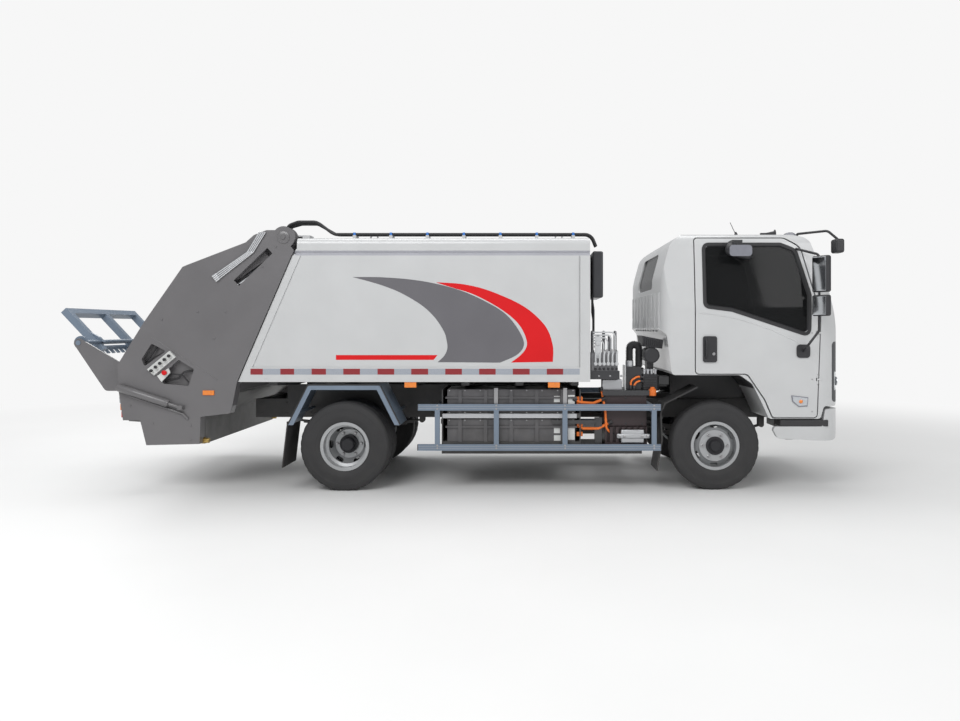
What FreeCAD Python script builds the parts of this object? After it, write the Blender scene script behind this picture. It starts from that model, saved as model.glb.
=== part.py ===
import FreeCAD, Part
import math
import os

# A light rear-loading garbage truck with an electric chassis.
# Millimetres. X points forwards, Y to the truck's left, Z up.
# The origin is on the ground, at the middle of the overall length and width.
# Stations are measured forwards from the rear axle, heights from the ground.

# Overall sizes
wheelbase = 3360.0
rear_reach = 2760.0
front_reach = 1165.0
tyre_radius = 402.0
tyre_width = 205.0
front_track = 1680.0
rear_track = 1530.0
twin_spacing = 248.0
gap = 6.0
overrun = 5.0

# Ladder frame
rail_bottom = 600.0
rail_height = 180.0
rail_flange = 65.0
rail_wall = 7.0
frame_width = 750.0
rail_rear = -1010.0
rail_front = 4340.0
cross_member_radius = 42.0
cross_member_stations = [-880.0, -420.0, 620.0, 1620.0, 2520.0, 4050.0]
tow_pin_radius = 16.0
tow_eye_width = 70.0
tow_eye_length = 95.0
tow_plate = 36.0
running_side_gap = 1.0
slide_clearance = 0.5

# Rear axle, front axle and springs
axle_tube_radius = 52.0
axle_housing_radius = 165.0
axle_housing_width = 210.0
front_beam_width = 70.0
front_beam_height = 80.0
front_beam_drop = 70.0
kingpin_radius = 16.0
kingpin_clearance = 0.05
kingpin_inset = 110.0
knuckle_height = 170.0
knuckle_thickness = 44.0
spindle_radius = 26.0
kingpin_boss_radius = 40.0
kingpin_boss_gap = 6.0
kingpin_stub = 8.0
kingpin_side_gap = 1.0
steering_arm_length = 120.0
arm_thickness = 22.0
front_spindle_end = 905.0
front_hub_back = 828.0
front_seat_z = 384.0
front_eye_z = 520.0
rear_tube_end = 692.0
rear_spindle_end = 815.0
rear_spindle_radius = 40.0
rear_hub_back = 700.0
rear_seat_z = 460.0
rear_eye_z = 566.0
housing_rim_share = 0.6
hub_bore_clearance = 0.05
spring_width = 70.0
spring_leaf = 12.0
front_spring_leaves = 4
rear_spring_leaves = 7
front_spring_length = 1180.0
rear_spring_length = 1240.0
front_spring_y = 340.0
rear_spring_y = 340.0
shackle_radius = 26.0

# Wheels
rim_flange_radius = 221.0
rim_seat_radius = 203.0
rim_well_radius = 178.0
rim_wall = 9.0
rim_width = 165.0
disc_wall = 12.0
stud_circle_radius = 111.0
hub_radius = 84.0
front_hub_length = 40.0
rear_hub_length = 100.0
hub_cap_radius = 52.0
vent_count = 6
front_vent_circle = 175.0
rear_vent_circle = 160.0
vent_length = 72.0
vent_width = 30.0
front_vent_turn_share = 0.0
rear_vent_turn_share = 0.5
tyre_bead_radius = 222.0
tyre_shoulder = 17.0
tyre_bulge = 12.0
tyre_seat_gap = 0.3

# Load body
body_front = 2215.0
body_floor = 990.0
body_roof = 2285.0
body_half_width = 1025.0
body_wall = 30.0
body_crown = 14.0
body_sill_height = 130.0
body_sill_proud = 10.0
groove_bottom = 2125.0
groove_height = 44.0
groove_depth = 20.0
shoulder_radius = 60.0
corner_post_width = 90.0
rear_frame_width = 70.0
joint_top_x = -440.0
joint_top_z = 2170.0
joint_bottom_x = -945.0
joint_bottom_z = 1000.0
floor_rise = 40.0
bearer_height = 70.0
bearer_reach = 980.0
body_front_rib_count = 3
body_front_rib_depth = 30.0
subframe_width = 70.0
subframe_rear = -700.0
subframe_front = 2150.0
subframe_cross_stations = [-640.0, 600.0, 1090.0, 1580.0, 2080.0]

# Ejector plate inside the body
ejector_rest_front = 2080.0
ejector_depth = 260.0
ejector_plate = 30.0
ejector_side_gap = 25.0
ejector_rib_count = 5

# Tailgate and hopper
tailgate_rear = -2014.0
tailgate_low = 425.0
tailgate_top = 2350.0
tailgate_half_width = 1050.0
tailgate_side = 120.0
hinge_x = -530.0
hinge_z = 2285.0
hinge_lug_radius = 100.0
hinge_pin_radius = 20.0
hinge_lug_y = 740.0
hinge_lug_width = 40.0
hinge_ear_width = 20.0
hinge_front_step = 16.0
hinge_lug_arm = 60.0
hinge_lug_reach = 60.0
header_reach = 100.0
header_side_gap = 10.0
ear_length = 180.0
ear_drop = 60.0
cross_tube_radius = 40.0
cover_first = 12
cover_last = 17
flap_gap = 14.0
tub_front_x = -1292.0
tub_rear_x = -1815.0
tub_back_x = -1975.0
sump_rear_x = -1757.0
mouth_lip_x = -2010.0
mouth_lip_z = 1130.0
ramp_low = 700.0
ramp_high = 900.0
running_clearance = 0.05
hopper_plate = 20.0
trough_radius = 520.0
mouth_cover_plate = 24.0
cover_inset = 18.0
lip_width = 60.0
tailgate_shares = [
    (0.992, 0.906), (0.674, 0.299), (0.647, 0.183), (0.631, 0.148), (0.468, 0.132), (0.4625, 0.006),
    (0.162, 0.0), (0.127, 0.116), (0.030, 0.116), (0.006, 0.249), (0.0, 0.375), (0.147, 0.571),
    (0.255, 0.698), (0.366, 0.829), (0.3945, 0.839), (0.723, 0.943), (0.769, 0.977), (0.841, 1.0),
    (0.9036, 1.0)]

# Packing carriage and blade
carriage_hinge_x = -1275.0
carriage_hinge_z = 1440.0
carriage_angle = 30.0
carriage_length = 620.0
carriage_plate = 36.0
carriage_stroke = 450.0
carriage_side_gap = 8.0
guide_width = 40.0
shoe_size = 52.0
blade_length = 470.0
blade_plate = 40.0
blade_tube_radius = 48.0
blade_pin_radius = 24.0
blade_rib_count = 6
ear_reach = 12.0
guide_overlap = 30.0
shoe_inset = 40.0
carriage_rib_shares = [-0.75, -0.25, 0.25, 0.75]
blade_ear_shares = [-0.6, 0.6]
blade_ear_width = 50.0
ear_clear_radius = 58.0

# Tailgate lift cylinders
barrel_x = -575.0
barrel_z = 2130.0
barrel_radius = 32.0
barrel_length = 330.0
rod_radius = 18.0
rod_eye_x = -985.0
rod_eye_z = 1845.0
cylinder_eye_radius = 30.0
cylinder_eye_width = 34.0
cylinder_pin_radius = 12.0
cylinder_y = 985.0
cylinder_pocket = 86.0
pocket_swing = 225.0
pocket_room = 9.0
pocket_steps = 10
tailgate_lift = 90.0
barrel_turn_ratio = 1.021
rod_travel_ratio = 144.8
slot_start_share = 0.27
slot_end_share = 0.93
bracket_plate = 14.0
bracket_nose_share = 0.6
slot_half_width = 34.0

# Bin lifter
lifter_x = -2415.0
lifter_z = 1340.0
lifter_plate = 20.0
lifter_eye_radius = 48.0
lifter_shaft_radius = 22.0
lifter_plate_y = 945.0
frame_half_width = 650.0
frame_bar = 64.0
frame_top_x = -2760.0
frame_top_z = 1620.0
frame_low_x = -2400.0
frame_low_z = 1235.0
frame_bar_count = 3
comb_height = 95.0
comb_plate = 12.0
comb_slot_count = 14
lifter_disc_radius = 62.0
lip_index = 9
mirror_in_share = 0.35
bracket_rear_x = -2169.0
bracket_waist_x = -2231.0
bracket_waist_z = 995.0

# Side equipment
battery_front = 2085.0
battery_rear = 925.0
battery_outer = 940.0
battery_inner = 470.0
battery_upper_low = 700.0
battery_upper_high = 915.0
battery_lower_low = 445.0
battery_lower_high = 645.0
battery_rib_count = 5
battery_flange = 16.0
rack_plate = 10.0
rack_low = 335.0
rack_bar = 50.0
control_front = 2740.0
control_rear = 2360.0
control_outer = 900.0
control_inner = 520.0
control_high = 905.0
charger_high = 575.0
charger_outer = 935.0
guard_rear = 665.0
guard_front = 2855.0
guard_outer = 1000.0
guard_bar_width = 25.0
guard_upper = 730.0
guard_lower = 368.0
guard_bar_height = 57.0
guard_post_width = 45.0
guard_post_stations = [817.0, 1349.0, 1968.0, 2772.0]
fender_half_width = 505.0
fender_top = 965.0
fender_low = 600.0
fender_sheet = 12.0
fender_top_half = 325.0
fender_inner = 600.0
fender_outer = 1010.0
mudflap_thickness = 10.0
mudflap_low = 215.0
mudguard_sheet = 14.0
mudguard_inner = 640.0
mudguard_outer = 960.0
motor_length = 560.0
motor_radius = 190.0
motor_station = 1010.0
marker_size = 105.0
marker_stations = [549.0, 1837.0]

# Cab
cab_half_width = 990.0
cab_wall = 42.0
cab_roof = 2362.0
cab_back = 2865.0
cab_front = 4525.0
cab_corner = 125.0
cab_front_corner = 300.0
cab_low = 655.0
cab_tunnel_half = 470.0
cab_tunnel_top = 900.0
cab_side_shares = [
    (0.055, 0.231), (0.425, 0.231), (0.493, 0.183), (0.540, 0.090), (0.582, 0.0), (0.862, 0.0),
    (0.883, 0.067), (0.976, 0.063), (0.991, 0.12), (1.0, 0.22), (1.0, 0.33), (0.991, 0.435),
    (0.958, 0.557), (0.812, 0.963),
    (0.700, 0.991), (0.400, 1.0), (0.130, 0.990), (0.050, 0.935), (0.0, 0.75), (0.0, 0.47), (0.030, 0.44)]
cab_side_round_shares = [
    0.02, 0.05, 0.03, 0.03, 0.02, 0.02, 0.02, 0.02, 0.01, 0.02, 0.03, 0.03, 0.05, 0.07, 0.12, 0.2, 0.10,
    0.10, 0.12, 0.02, 0.02]
cab_lean_z = 1650.0
cab_lean = 75.0
cab_roof_round = 120.0
cab_plan_bow = 28.0
door_gap = 10.0
door_front_low = 4262.0
door_back = 3172.0
door_top = 2292.0
door_low = 668.0
glass_thickness = 6.0
glass_inset = 14.0
glass_clearance = 0.3
tilt_pin_x = 4430.0
tilt_pin_z = 840.0
tilt_pin_radius = 16.0
tilt_lug_width = 30.0
tilt_lug_y = 330.0
tunnel_front = 4470.0
cab_roof_drop = 28.0
cab_lean_round = 500.0
door_arch_z = 1062.0
door_arch_x = 3868.0
door_arch_slope = 70.0
door_arch_mid_z = 830.0
door_arch_end = 3640.0
door_front_top = 3985.0
door_front_high = 4130.0
door_high_z = 2205.0
door_front_belt = 4296.0
door_belt_z = 1575.0
door_round = 30.0
door_reach = 165.0
door_hinge_x = 4270.0
door_hinge_y = 987.0
door_hinge_heights = [1010.0, 1430.0]
door_pin_radius = 4.0
door_eye_radius = 8.0
door_eye_reach = 42.0
door_arm_length = 42.0
window_back = 3268.0
window_top = 2222.0
window_front_top = 3950.0
window_front_high = 4075.0
window_high = 2172.0
window_front_low = 4190.0
window_mid = 1775.0
window_front_end = 4182.0
window_low = 1425.0
window_dip = 3504.0
window_sill = 1650.0
window_rise = 30.0
window_round = 35.0
windscreen_low = 1650.0
windscreen_high = 2255.0
windscreen_low_half = 850.0
windscreen_high_half = 790.0
windscreen_back = 3950.0
rear_window_half = 450.0
rear_window_low = 1850.0
rear_window_high = 2190.0
rear_window_front = 3100.0
grille_low = 800.0
grille_high = 1350.0
grille_half = 935.0
grille_back = 4200.0
grille_depth = 14.0
grille_slot_half = 480.0
grille_slot_low = 1120.0
grille_slot_high = 1300.0
grille_slot_count = 4
lamp_inner = 620.0
lamp_outer = 900.0
lamp_low = 905.0
lamp_high = 1075.0
lamp_rise = 20.0
rear_rib_reach = 700.0
rear_rib_count = 9
rear_rib_low = 1440.0
rear_rib_high = 1570.0
rear_rib_proud = 6.0
handle_back = 3235.0
handle_front = 3360.0
handle_low = 1165.0
handle_high = 1400.0
handle_round = 20.0
handle_proud = 14.0
mirror_x = 4235.0
mirror_foot_x = 4140.0
mirror_foot_low = 1265.0
mirror_foot_half = 60.0
mirror_foot_plate = 10.0
mirror_tube_radius = 11.0
mirror_tube_step = 60.0
mirror_stand_off = 130.0
mirror_low_z = 1450.0
mirror_high_z = 2125.0
mirror_top_x = 4095.0
mirror_top_y = 932.0
mirror_top_z = 2195.0
mirror_width = 170.0
mirror_depth = 60.0
mirror_turn = 30.0
mirror_main_low = 1791.0
mirror_main_high = 2113.0
mirror_small_low = 1580.0
mirror_small_high = 1766.0
kerb_mirror_x = 3545.0
kerb_mirror_y = 1045.0
kerb_mirror_z = 2162.0
kerb_mirror_length = 240.0
kerb_mirror_width = 120.0
kerb_mirror_height = 105.0
kerb_mirror_round = 42.0
kerb_mirror_tilt = 28.0
kerb_mirror_pitch = 14.0
kerb_arm_rear = 3483.0
kerb_arm_front = 3573.0
kerb_arm_low = 2232.0
kerb_arm_high = 2262.0
kerb_arm_drop = 60.0
kerb_arm_plate = 26.0
roof_mirror_foot = 4150.0
roof_mirror_foot_y = 800.0
roof_mirror_foot_z = 2318.6
roof_mirror_out = 1040.0
roof_mirror_bend = 4340.0
roof_mirror_head = 4430.0
roof_mirror_top = 2345.0
roof_mirror_head_z = 2270.0
roof_mirror_size = 125.0

# Bumper and steps
step_rear = 3850.0
step_top = 585.0
step_arm_x = 4000.0
bumper_round = 60.0
bumper_low = 456.0
bumper_mid = 560.0
bumper_high = 738.0
bumper_turn = 4345.0
bumper_wall = 45.0
bumper_arm_inset = 30.0
bumper_arm_height = 60.0
tow_slot_low = 640.0
tow_slot_high = 735.0

# Cab interior
cab_floor_z = 1091.5
seat_width = 480.0
seat_y = 480.0
seat_rear = 3080.0
seat_depth = 480.0
seat_plinth = 150.0
seat_cushion = 140.0
seat_back = 700.0
seat_lean = 60.0
seat_round = 40.0
dash_rear = 3930.0
dash_front = 4260.0
dash_low = 1250.0
dash_high = 1560.0
dash_brow = 80.0
dash_side_gap = 30.0
dash_leg_half = 300.0
dash_leg_low = 1060.0
steering_x = 3790.0
steering_z = 1560.0
steering_radius = 200.0
steering_rim = 14.0
column_lean = 50.0
column_top = 40.0
column_length = 260.0
column_radius = 28.0

# Hydraulic fittings
tank_y = 650.0
tank_width = 560.0
tank_depth = 95.0
tank_stand_off = 32.0
tank_low = 1750.0
tank_high = 2175.0
tank_round = 18.0
tank_bracket = 40.0
tank_bracket_half = 80.0
valve_y = 880.0
valve_width = 200.0
valve_depth = 270.0
valve_inset = 15.0
valve_plate_low = 1010.0
valve_plate = 75.0
valve_block_top = 1250.0
valve_pipe_count = 5
valve_pipe_radius = 9.0
valve_pipe_top = 1440.0
valve_pipe_step = 40.0
hose_count = 4
hose_y = 900.0
hose_pitch = 27.0
hose_radius = 12.0
hose_seat_gap = 0.3
hose_rear = -545.0
hose_arch_x = -330.0
hose_arch_top = 2445.0
hose_stagger = 14.0
hose_settle = 60.0
hose_front = 2235.0
hose_turn = 90.0
hose_drop = 110.0
hose_run_z = 2331.0
bridge_plate = 12.0
bridge_inner = 790.0
bridge_outer = 922.0
bridge_rear = -565.0
bridge_front = -330.0
bridge_riser = -395.0
cleat_count = 7
cleat_width = 30.0
pipe_count = 4
pipe_radius = 7.0
pipe_pitch = 17.0
pipe_top_x = -690.0
pipe_top_z = 2330.0
pipe_bend_x = -800.0
pipe_bend_z = 2150.0
pipe_low_x = -1115.0
pipe_low_z = 1905.0
pipe_seat_gap = 0.3
fitting_radius = 11.0
fitting_length = 40.0

# Small equipment
battery_seam_share = 0.62
rack_tray = 40.0
control_lid = 45.0
charger_fin_count = 7
charger_fin_depth = 30.0
guard_arm_stations = [817.0, 2772.0]
guard_arm_drop = 20.0
fender_stay_x = 442.0
fender_stay_z = 700.0
fender_stay_radius = 14.0
mudflap_lap = 30.0
mudflap_lean = 45.0
guard_sheet_points = [(3197.0, 931.0), (2907.0, 787.0), (2868.0, 704.0), (2880.0, 466.0), (2835.0, 180.0)]
mudguard_stay_z = 660.0
motor_drop = 150.0
marker_inner = 985.0
marker_outer = 1032.0
marker_height = 50.0
panel_points = [(-1741.0, 1105.0), (-1542.0, 1270.0), (-1488.0, 1215.0), (-1681.0, 1050.0)]
panel_proud = 22.0
panel_knob_count = 5
panel_knob = 24.0
bay_depth = 60.0
bay_front_points = [(-1470.0, 1190.0), (-1330.0, 1105.0), (-1380.0, 955.0), (-1600.0, 975.0),
                    (-1650.0, 1025.0)]
bay_rear_points = [(-1775.0, 1130.0), (-1800.0, 1195.0), (-1712.0, 1335.0), (-1580.0, 1268.0)]
bay_round = 14.0

overall_length = rear_reach + wheelbase + front_reach
rear_axle_x = rear_reach - overall_length / 2
front_axle_x = rear_axle_x + wheelbase
rail_top = rail_bottom + rail_height
kingpin_y = front_track / 2 - kingpin_inset
rail_y = frame_width / 2
leftwards = FreeCAD.Vector(0, 1, 0)
upwards = FreeCAD.Vector(0, 0, 1)
forwards = FreeCAD.Vector(1, 0, 0)


def at(station):
    """Turn a station measured from the rear axle into X."""
    return rear_axle_x + station


def point(x, y, z):
    return FreeCAD.Vector(x, y, z)


def box(x0, x1, y0, y1, z0, z1):
    return Part.makeBox(x1 - x0, y1 - y0, z1 - z0, point(x0, y0, z0))


def mirrored(shape):
    """The same piece on the other side of the truck."""
    return shape.mirror(point(0, 0, 0), leftwards)


def fuse(shapes):
    whole = shapes[0]
    if len(shapes) > 1:
        whole = whole.fuse(shapes[1:])
    return whole.removeSplitter()


def together(shapes):
    return Part.makeCompound(shapes)


def rod(start, end, radius):
    way = end - start
    return Part.makeCylinder(radius, way.Length, start, way)


def rounded_wire(points, radii, closed=True):
    """Straight runs joined by tangent arcs, each limited by its shorter run."""
    count = len(points)
    edges = []
    ends = []
    for i in range(count):
        here = points[i]
        if not closed and i in (0, count - 1):
            ends.append((here, here))
            continue
        before = points[i - 1] - here
        after = points[(i + 1) % count] - here
        angle = before.getAngle(after)
        reach = radii[i] / math.tan(angle / 2)
        reach = min(reach, 0.49 * before.Length, 0.49 * after.Length)
        if reach < 1e-6 * before.Length or abs(math.pi - angle) < 1e-4:
            ends.append((here, here))
            continue
        start = here + before.normalize() * reach
        end = here + after.normalize() * reach
        radius = reach * math.tan(angle / 2)
        middle_way = (start + end) * 0.5 - here
        to_centre = math.hypot(radius, reach)
        middle = here + middle_way.normalize() * (to_centre - radius)
        edges.append((i, Part.Arc(start, middle, end).toShape()))
        ends.append((start, end))
    arcs = dict(edges)
    path = []
    last = count if closed else count - 1
    for i in range(count):
        if i in arcs:
            path.append(arcs[i])
        if i < last:
            start = ends[i][1]
            end = ends[(i + 1) % count][0]
            if (end - start).Length > 1e-6:
                path.append(Part.LineSegment(start, end).toShape())
    return Part.Wire(Part.__sortEdges__(path))


def prism_y(outline, y0, y1, radii=None):
    """An (x, z) outline made as thick as the stretch from y0 to y1."""
    points = [point(x, y0, z) for x, z in outline]
    wire = rounded_wire(points, radii or [0] * len(points))
    return Part.Face(wire).extrude(point(0, y1 - y0, 0))


def prism_x(outline, x0, x1, radii=None):
    """A (y, z) outline made as long as the stretch from x0 to x1."""
    points = [point(x0, y, z) for y, z in outline]
    wire = rounded_wire(points, radii or [0] * len(points))
    return Part.Face(wire).extrude(point(x1 - x0, 0, 0))


def turned(outline, x, y, z):
    """A lathe outline of (radius, sideways) points turned about an axle along Y."""
    points = [point(x, y + side, z + radius) for radius, side in outline]
    face = Part.Face(Part.makePolygon(points + [points[0]]))
    return face.revolve(point(x, y, z), leftwards, 360)


def pipe(points, radius, bend):
    """A round bar or hose along straight runs and tangent arcs."""
    path = rounded_wire(points, [bend] * len(points), closed=False)
    way = points[1] - points[0]
    ring = Part.Wire(Part.makeCircle(radius, points[0], way))
    return path.makePipeShell([ring], True, False)


def chassis_frame():
    """Two channel rails, each with the bracket that the cab tips about at its front end."""
    rails = []
    for side in (-1, 1):
        outer = side * rail_y
        inner = side * (rail_y - rail_flange)
        web = side * (rail_y - rail_wall)
        shape = [(outer, rail_bottom), (outer, rail_top), (inner, rail_top), (inner, rail_top - rail_wall),
                 (web, rail_top - rail_wall), (web, rail_bottom + rail_wall),
                 (inner, rail_bottom + rail_wall), (inner, rail_bottom)]
        rail = prism_x(shape, at(rail_rear), at(rail_front))
        rails.append(fuse([rail, tilt_bracket(side)]))
    return together(rails)


def cross_members():
    """The round tubes between the rails, and the end members with their tow eyes."""
    pieces = []
    middle = rail_bottom + rail_height / 2
    reach = rail_y - rail_wall
    for station in cross_member_stations:
        pieces.append(rod(point(at(station), -reach, middle), point(at(station), reach, middle),
                          cross_member_radius))
    for end, way, setback in ((rail_rear, -1, 0.0), (rail_front, 1, rail_flange)):
        face = at(end) - way * setback
        cross = sorted((face, face - way * rail_flange))
        member = box(cross[0], cross[1], -reach, reach, rail_bottom + rail_wall, rail_top - rail_wall)
        eye_x = at(end) + way * (tow_eye_length - tow_eye_width / 2)
        plate = sorted((face, eye_x))
        tongue = box(plate[0], plate[1], -tow_eye_width / 2, tow_eye_width / 2,
                     middle - tow_plate / 2, middle + tow_plate / 2)
        nose = Part.makeCylinder(tow_eye_width / 2, tow_plate, point(eye_x, 0, middle - tow_plate / 2))
        hole = Part.makeCylinder(tow_pin_radius, tow_plate + 2 * overrun,
                                 point(eye_x, 0, middle - tow_plate / 2 - overrun))
        pieces.append(fuse([member, tongue, nose]).cut(hole))
    return together(pieces)


def bar_y(start, end, half, y0, y1):
    """A flat link with round ends between two (x, z) points, thick along Y."""
    p = point(start[0], 0, start[1])
    q = point(end[0], 0, end[1])
    way = (q - p) / (q - p).Length
    square = point(-way.z, 0, way.x) * half
    corners = [p + square, q + square, q - square, p - square]
    low, high = min(y0, y1), max(y0, y1)
    body = prism_y([(c.x, c.z) for c in corners], low, high)
    ends = [Part.makeCylinder(half, high - low, point(c.x, low, c.z), leftwards) for c in (p, q)]
    return fuse([body] + ends)


def tilt_bracket(side):
    """The link and pin on a rail's front end that the cab tips about."""
    near = side * (tilt_lug_y - tilt_lug_width / 2 - gap)
    far = near - side * tilt_lug_width
    half = tilt_pin_radius * 1.6
    heel = (at(rail_front) - rail_flange / 2, rail_top - half)
    link = bar_y(heel, (at(tilt_pin_x), tilt_pin_z), half, near, far)
    reach = side * (tilt_lug_y + tilt_lug_width / 2 + overrun)
    pin = rod(point(at(tilt_pin_x), far, tilt_pin_z), point(at(tilt_pin_x), reach, tilt_pin_z),
              tilt_pin_radius)
    foot_y = sorted((far, side * rail_y))
    foot = box(at(rail_front) - rail_flange, at(rail_front), foot_y[0], foot_y[1], rail_top - 2 * half,
               rail_top)
    return fuse([link, pin, foot])


def leaf_spring(station, y, length, leaves, seat_z, eye_z):
    """A stack of leaves over an axle, its main leaf bowed down between two eyes."""
    pieces = []
    half = length / 2
    for leaf in range(leaves):
        share = 1 - leaf / (leaves + 1)
        reach = half * share
        low = seat_z + (leaves - 1 - leaf) * spring_leaf
        rise = (eye_z - (seat_z + (leaves - 1) * spring_leaf)) * share * share
        under = Part.Arc(point(at(station) - reach, y, low + rise), point(at(station), y, low),
                         point(at(station) + reach, y, low + rise)).toShape()
        over = under.copy()
        over.translate(point(0, 0, spring_leaf))
        ends = [Part.LineSegment(under.Vertexes[i].Point, over.Vertexes[i].Point).toShape() for i in (0, 1)]
        face = Part.Face(Part.Wire(Part.__sortEdges__([under, over] + ends)))
        pieces.append(face.extrude(point(0, spring_width, 0)))
    for way in (-1, 1):
        eye = point(at(station) + way * half, y, eye_z + spring_leaf / 2)
        pieces.append(Part.makeCylinder(shackle_radius, spring_width, eye, leftwards))
        hanger = box(eye.x - shackle_radius, eye.x + shackle_radius, y, y + spring_width,
                     eye.z, rail_bottom)
        pieces.append(hanger)
    return fuse(pieces)


def spindle(x, side, start, end, radius):
    return rod(point(x, side * start, tyre_radius), point(x, side * end, tyre_radius), radius)


def front_axle():
    """A dropped beam with a kingpin through the boss at each end."""
    eye = kingpin_y - kingpin_boss_radius - front_beam_drop / 2
    crank = eye - front_beam_drop
    top = tyre_radius + front_beam_height / 2
    half = [(0.0, top - front_beam_drop), (crank, top - front_beam_drop), (eye, top), (kingpin_y, top)]
    low = [(y, z - front_beam_height) for y, z in reversed(half)]
    right = half + low
    outline = [(-y, z) for y, z in reversed(right[1:-1])] + right[1:-1]
    round_beam = [front_beam_drop] * len(outline)
    x = front_axle_x - front_beam_width / 2
    pieces = [prism_x(outline, x, x + front_beam_width, round_beam)]
    for side in (-1, 1):
        foot = point(front_axle_x, side * kingpin_y, tyre_radius - front_beam_height / 2)
        pieces.append(Part.makeCylinder(kingpin_boss_radius, front_beam_height, foot))
        pin_low = point(front_axle_x, side * kingpin_y, tyre_radius - knuckle_height / 2 - kingpin_stub)
        pieces.append(Part.makeCylinder(kingpin_radius, knuckle_height + 2 * kingpin_stub, pin_low))
        pad_y = side * front_spring_y - spring_width / 2
        pieces.append(box(x, x + front_beam_width, pad_y, pad_y + spring_width,
                          top - front_beam_drop - front_beam_height / 2, front_seat_z))
    return fuse(pieces)


def knuckle(side):
    """The steered fork round a kingpin boss, with its wheel spindle."""
    ear = (knuckle_height - front_beam_height) / 2 - kingpin_side_gap
    pieces = []
    plate_start = kingpin_boss_radius + kingpin_boss_gap
    for low in (tyre_radius - knuckle_height / 2, tyre_radius + knuckle_height / 2 - ear):
        foot = point(front_axle_x, side * kingpin_y, low)
        pieces.append(Part.makeCylinder(kingpin_boss_radius, ear, foot))
        reach = sorted((side * kingpin_y, side * (kingpin_y + plate_start)))
        pieces.append(box(front_axle_x - kingpin_boss_radius, front_axle_x + kingpin_boss_radius,
                          reach[0], reach[1], low, low + ear))
    web = sorted((side * (kingpin_y + plate_start), side * (kingpin_y + plate_start + knuckle_thickness)))
    pieces.append(box(front_axle_x - kingpin_boss_radius, front_axle_x + kingpin_boss_radius,
                      web[0], web[1], tyre_radius - knuckle_height / 2, tyre_radius + knuckle_height / 2))
    start = kingpin_y + plate_start
    pieces.append(spindle(front_axle_x, side, start, front_spindle_end, spindle_radius))
    arm = sorted((side * (kingpin_y + plate_start), side * (kingpin_y + plate_start + arm_thickness)))
    pieces.append(box(front_axle_x - steering_arm_length, front_axle_x, arm[0], arm[1],
                      tyre_radius - knuckle_height / 2, tyre_radius - knuckle_height / 2 + arm_thickness))
    bore = Part.makeCylinder(kingpin_radius + kingpin_clearance, knuckle_height + 2 * overrun,
                             point(front_axle_x, side * kingpin_y,
                                   tyre_radius - knuckle_height / 2 - overrun))
    return fuse(pieces).cut(bore)


def rear_axle():
    """A banjo housing on a straight tube, stepped down to a spindle at each end."""
    pieces = [rod(point(rear_axle_x, -rear_tube_end, tyre_radius),
                  point(rear_axle_x, rear_tube_end, tyre_radius),
                  axle_tube_radius)]
    half = axle_housing_width / 2
    bowl = [(0.0, -half), (axle_housing_radius * housing_rim_share, -half), (axle_housing_radius, -half / 2),
            (axle_housing_radius, half / 2), (axle_housing_radius * housing_rim_share, half), (0.0, half)]
    points = [point(rear_axle_x + z, 0, tyre_radius + r) for r, z in bowl]
    face = Part.Face(Part.makePolygon(points + [points[0]]))
    pieces.append(face.revolve(point(rear_axle_x, 0, tyre_radius), forwards, 360))
    for side in (-1, 1):
        pieces.append(spindle(rear_axle_x, side, rear_tube_end, rear_spindle_end, rear_spindle_radius))
        pad_y = side * rear_spring_y - spring_width / 2
        pieces.append(box(rear_axle_x - axle_tube_radius, rear_axle_x + axle_tube_radius,
                          pad_y, pad_y + spring_width, tyre_radius, rear_seat_z))
    return fuse(pieces)


def barrel_outline(centre):
    """The (radius, sideways) outline of a rim's barrel, its well on the inboard side."""
    half = rim_width / 2
    flange = rim_flange_radius
    seat = rim_seat_radius
    inside = seat - rim_wall
    well = rim_well_radius
    outline = [(flange, half + rim_wall), (flange, half), (seat, half - rim_wall / 2), (seat, 0.0),
               (well, -rim_wall), (well, -half / 2), (seat, -half / 2 - rim_wall),
               (seat, rim_wall / 2 - half), (flange, -half), (flange, -half - rim_wall),
               (inside, -half - rim_wall / 2), (inside, -half / 2 - rim_wall),
               (well - rim_wall, -half / 2), (well - rim_wall, -rim_wall), (inside, 0.0),
               (inside, half + rim_wall / 2)]
    return [(radius, centre + side) for radius, side in outline]


def vents(x, y, side, reach, circle, turn_share):
    """Oval cutters round a wheel disc."""
    cutters = []
    run = (vent_length - vent_width) / 2
    for turn in range(vent_count):
        outline = [(-run, 0), (run, 0)]
        ends = [Part.makeCylinder(vent_width / 2, reach, point(px, 0, circle), leftwards)
                for px, _ in outline]
        middle = box(-run, run, 0, reach, circle - vent_width / 2, circle + vent_width / 2)
        oval = fuse([middle] + ends)
        oval.rotate(point(0, 0, 0), leftwards, 360 * (turn + turn_share) / vent_count)
        oval.translate(point(x, y if side > 0 else y - reach, tyre_radius))
        cutters.append(oval)
    return cutters


def signed(outline, side):
    return [(radius, side * sideways) for radius, sideways in outline]


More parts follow.
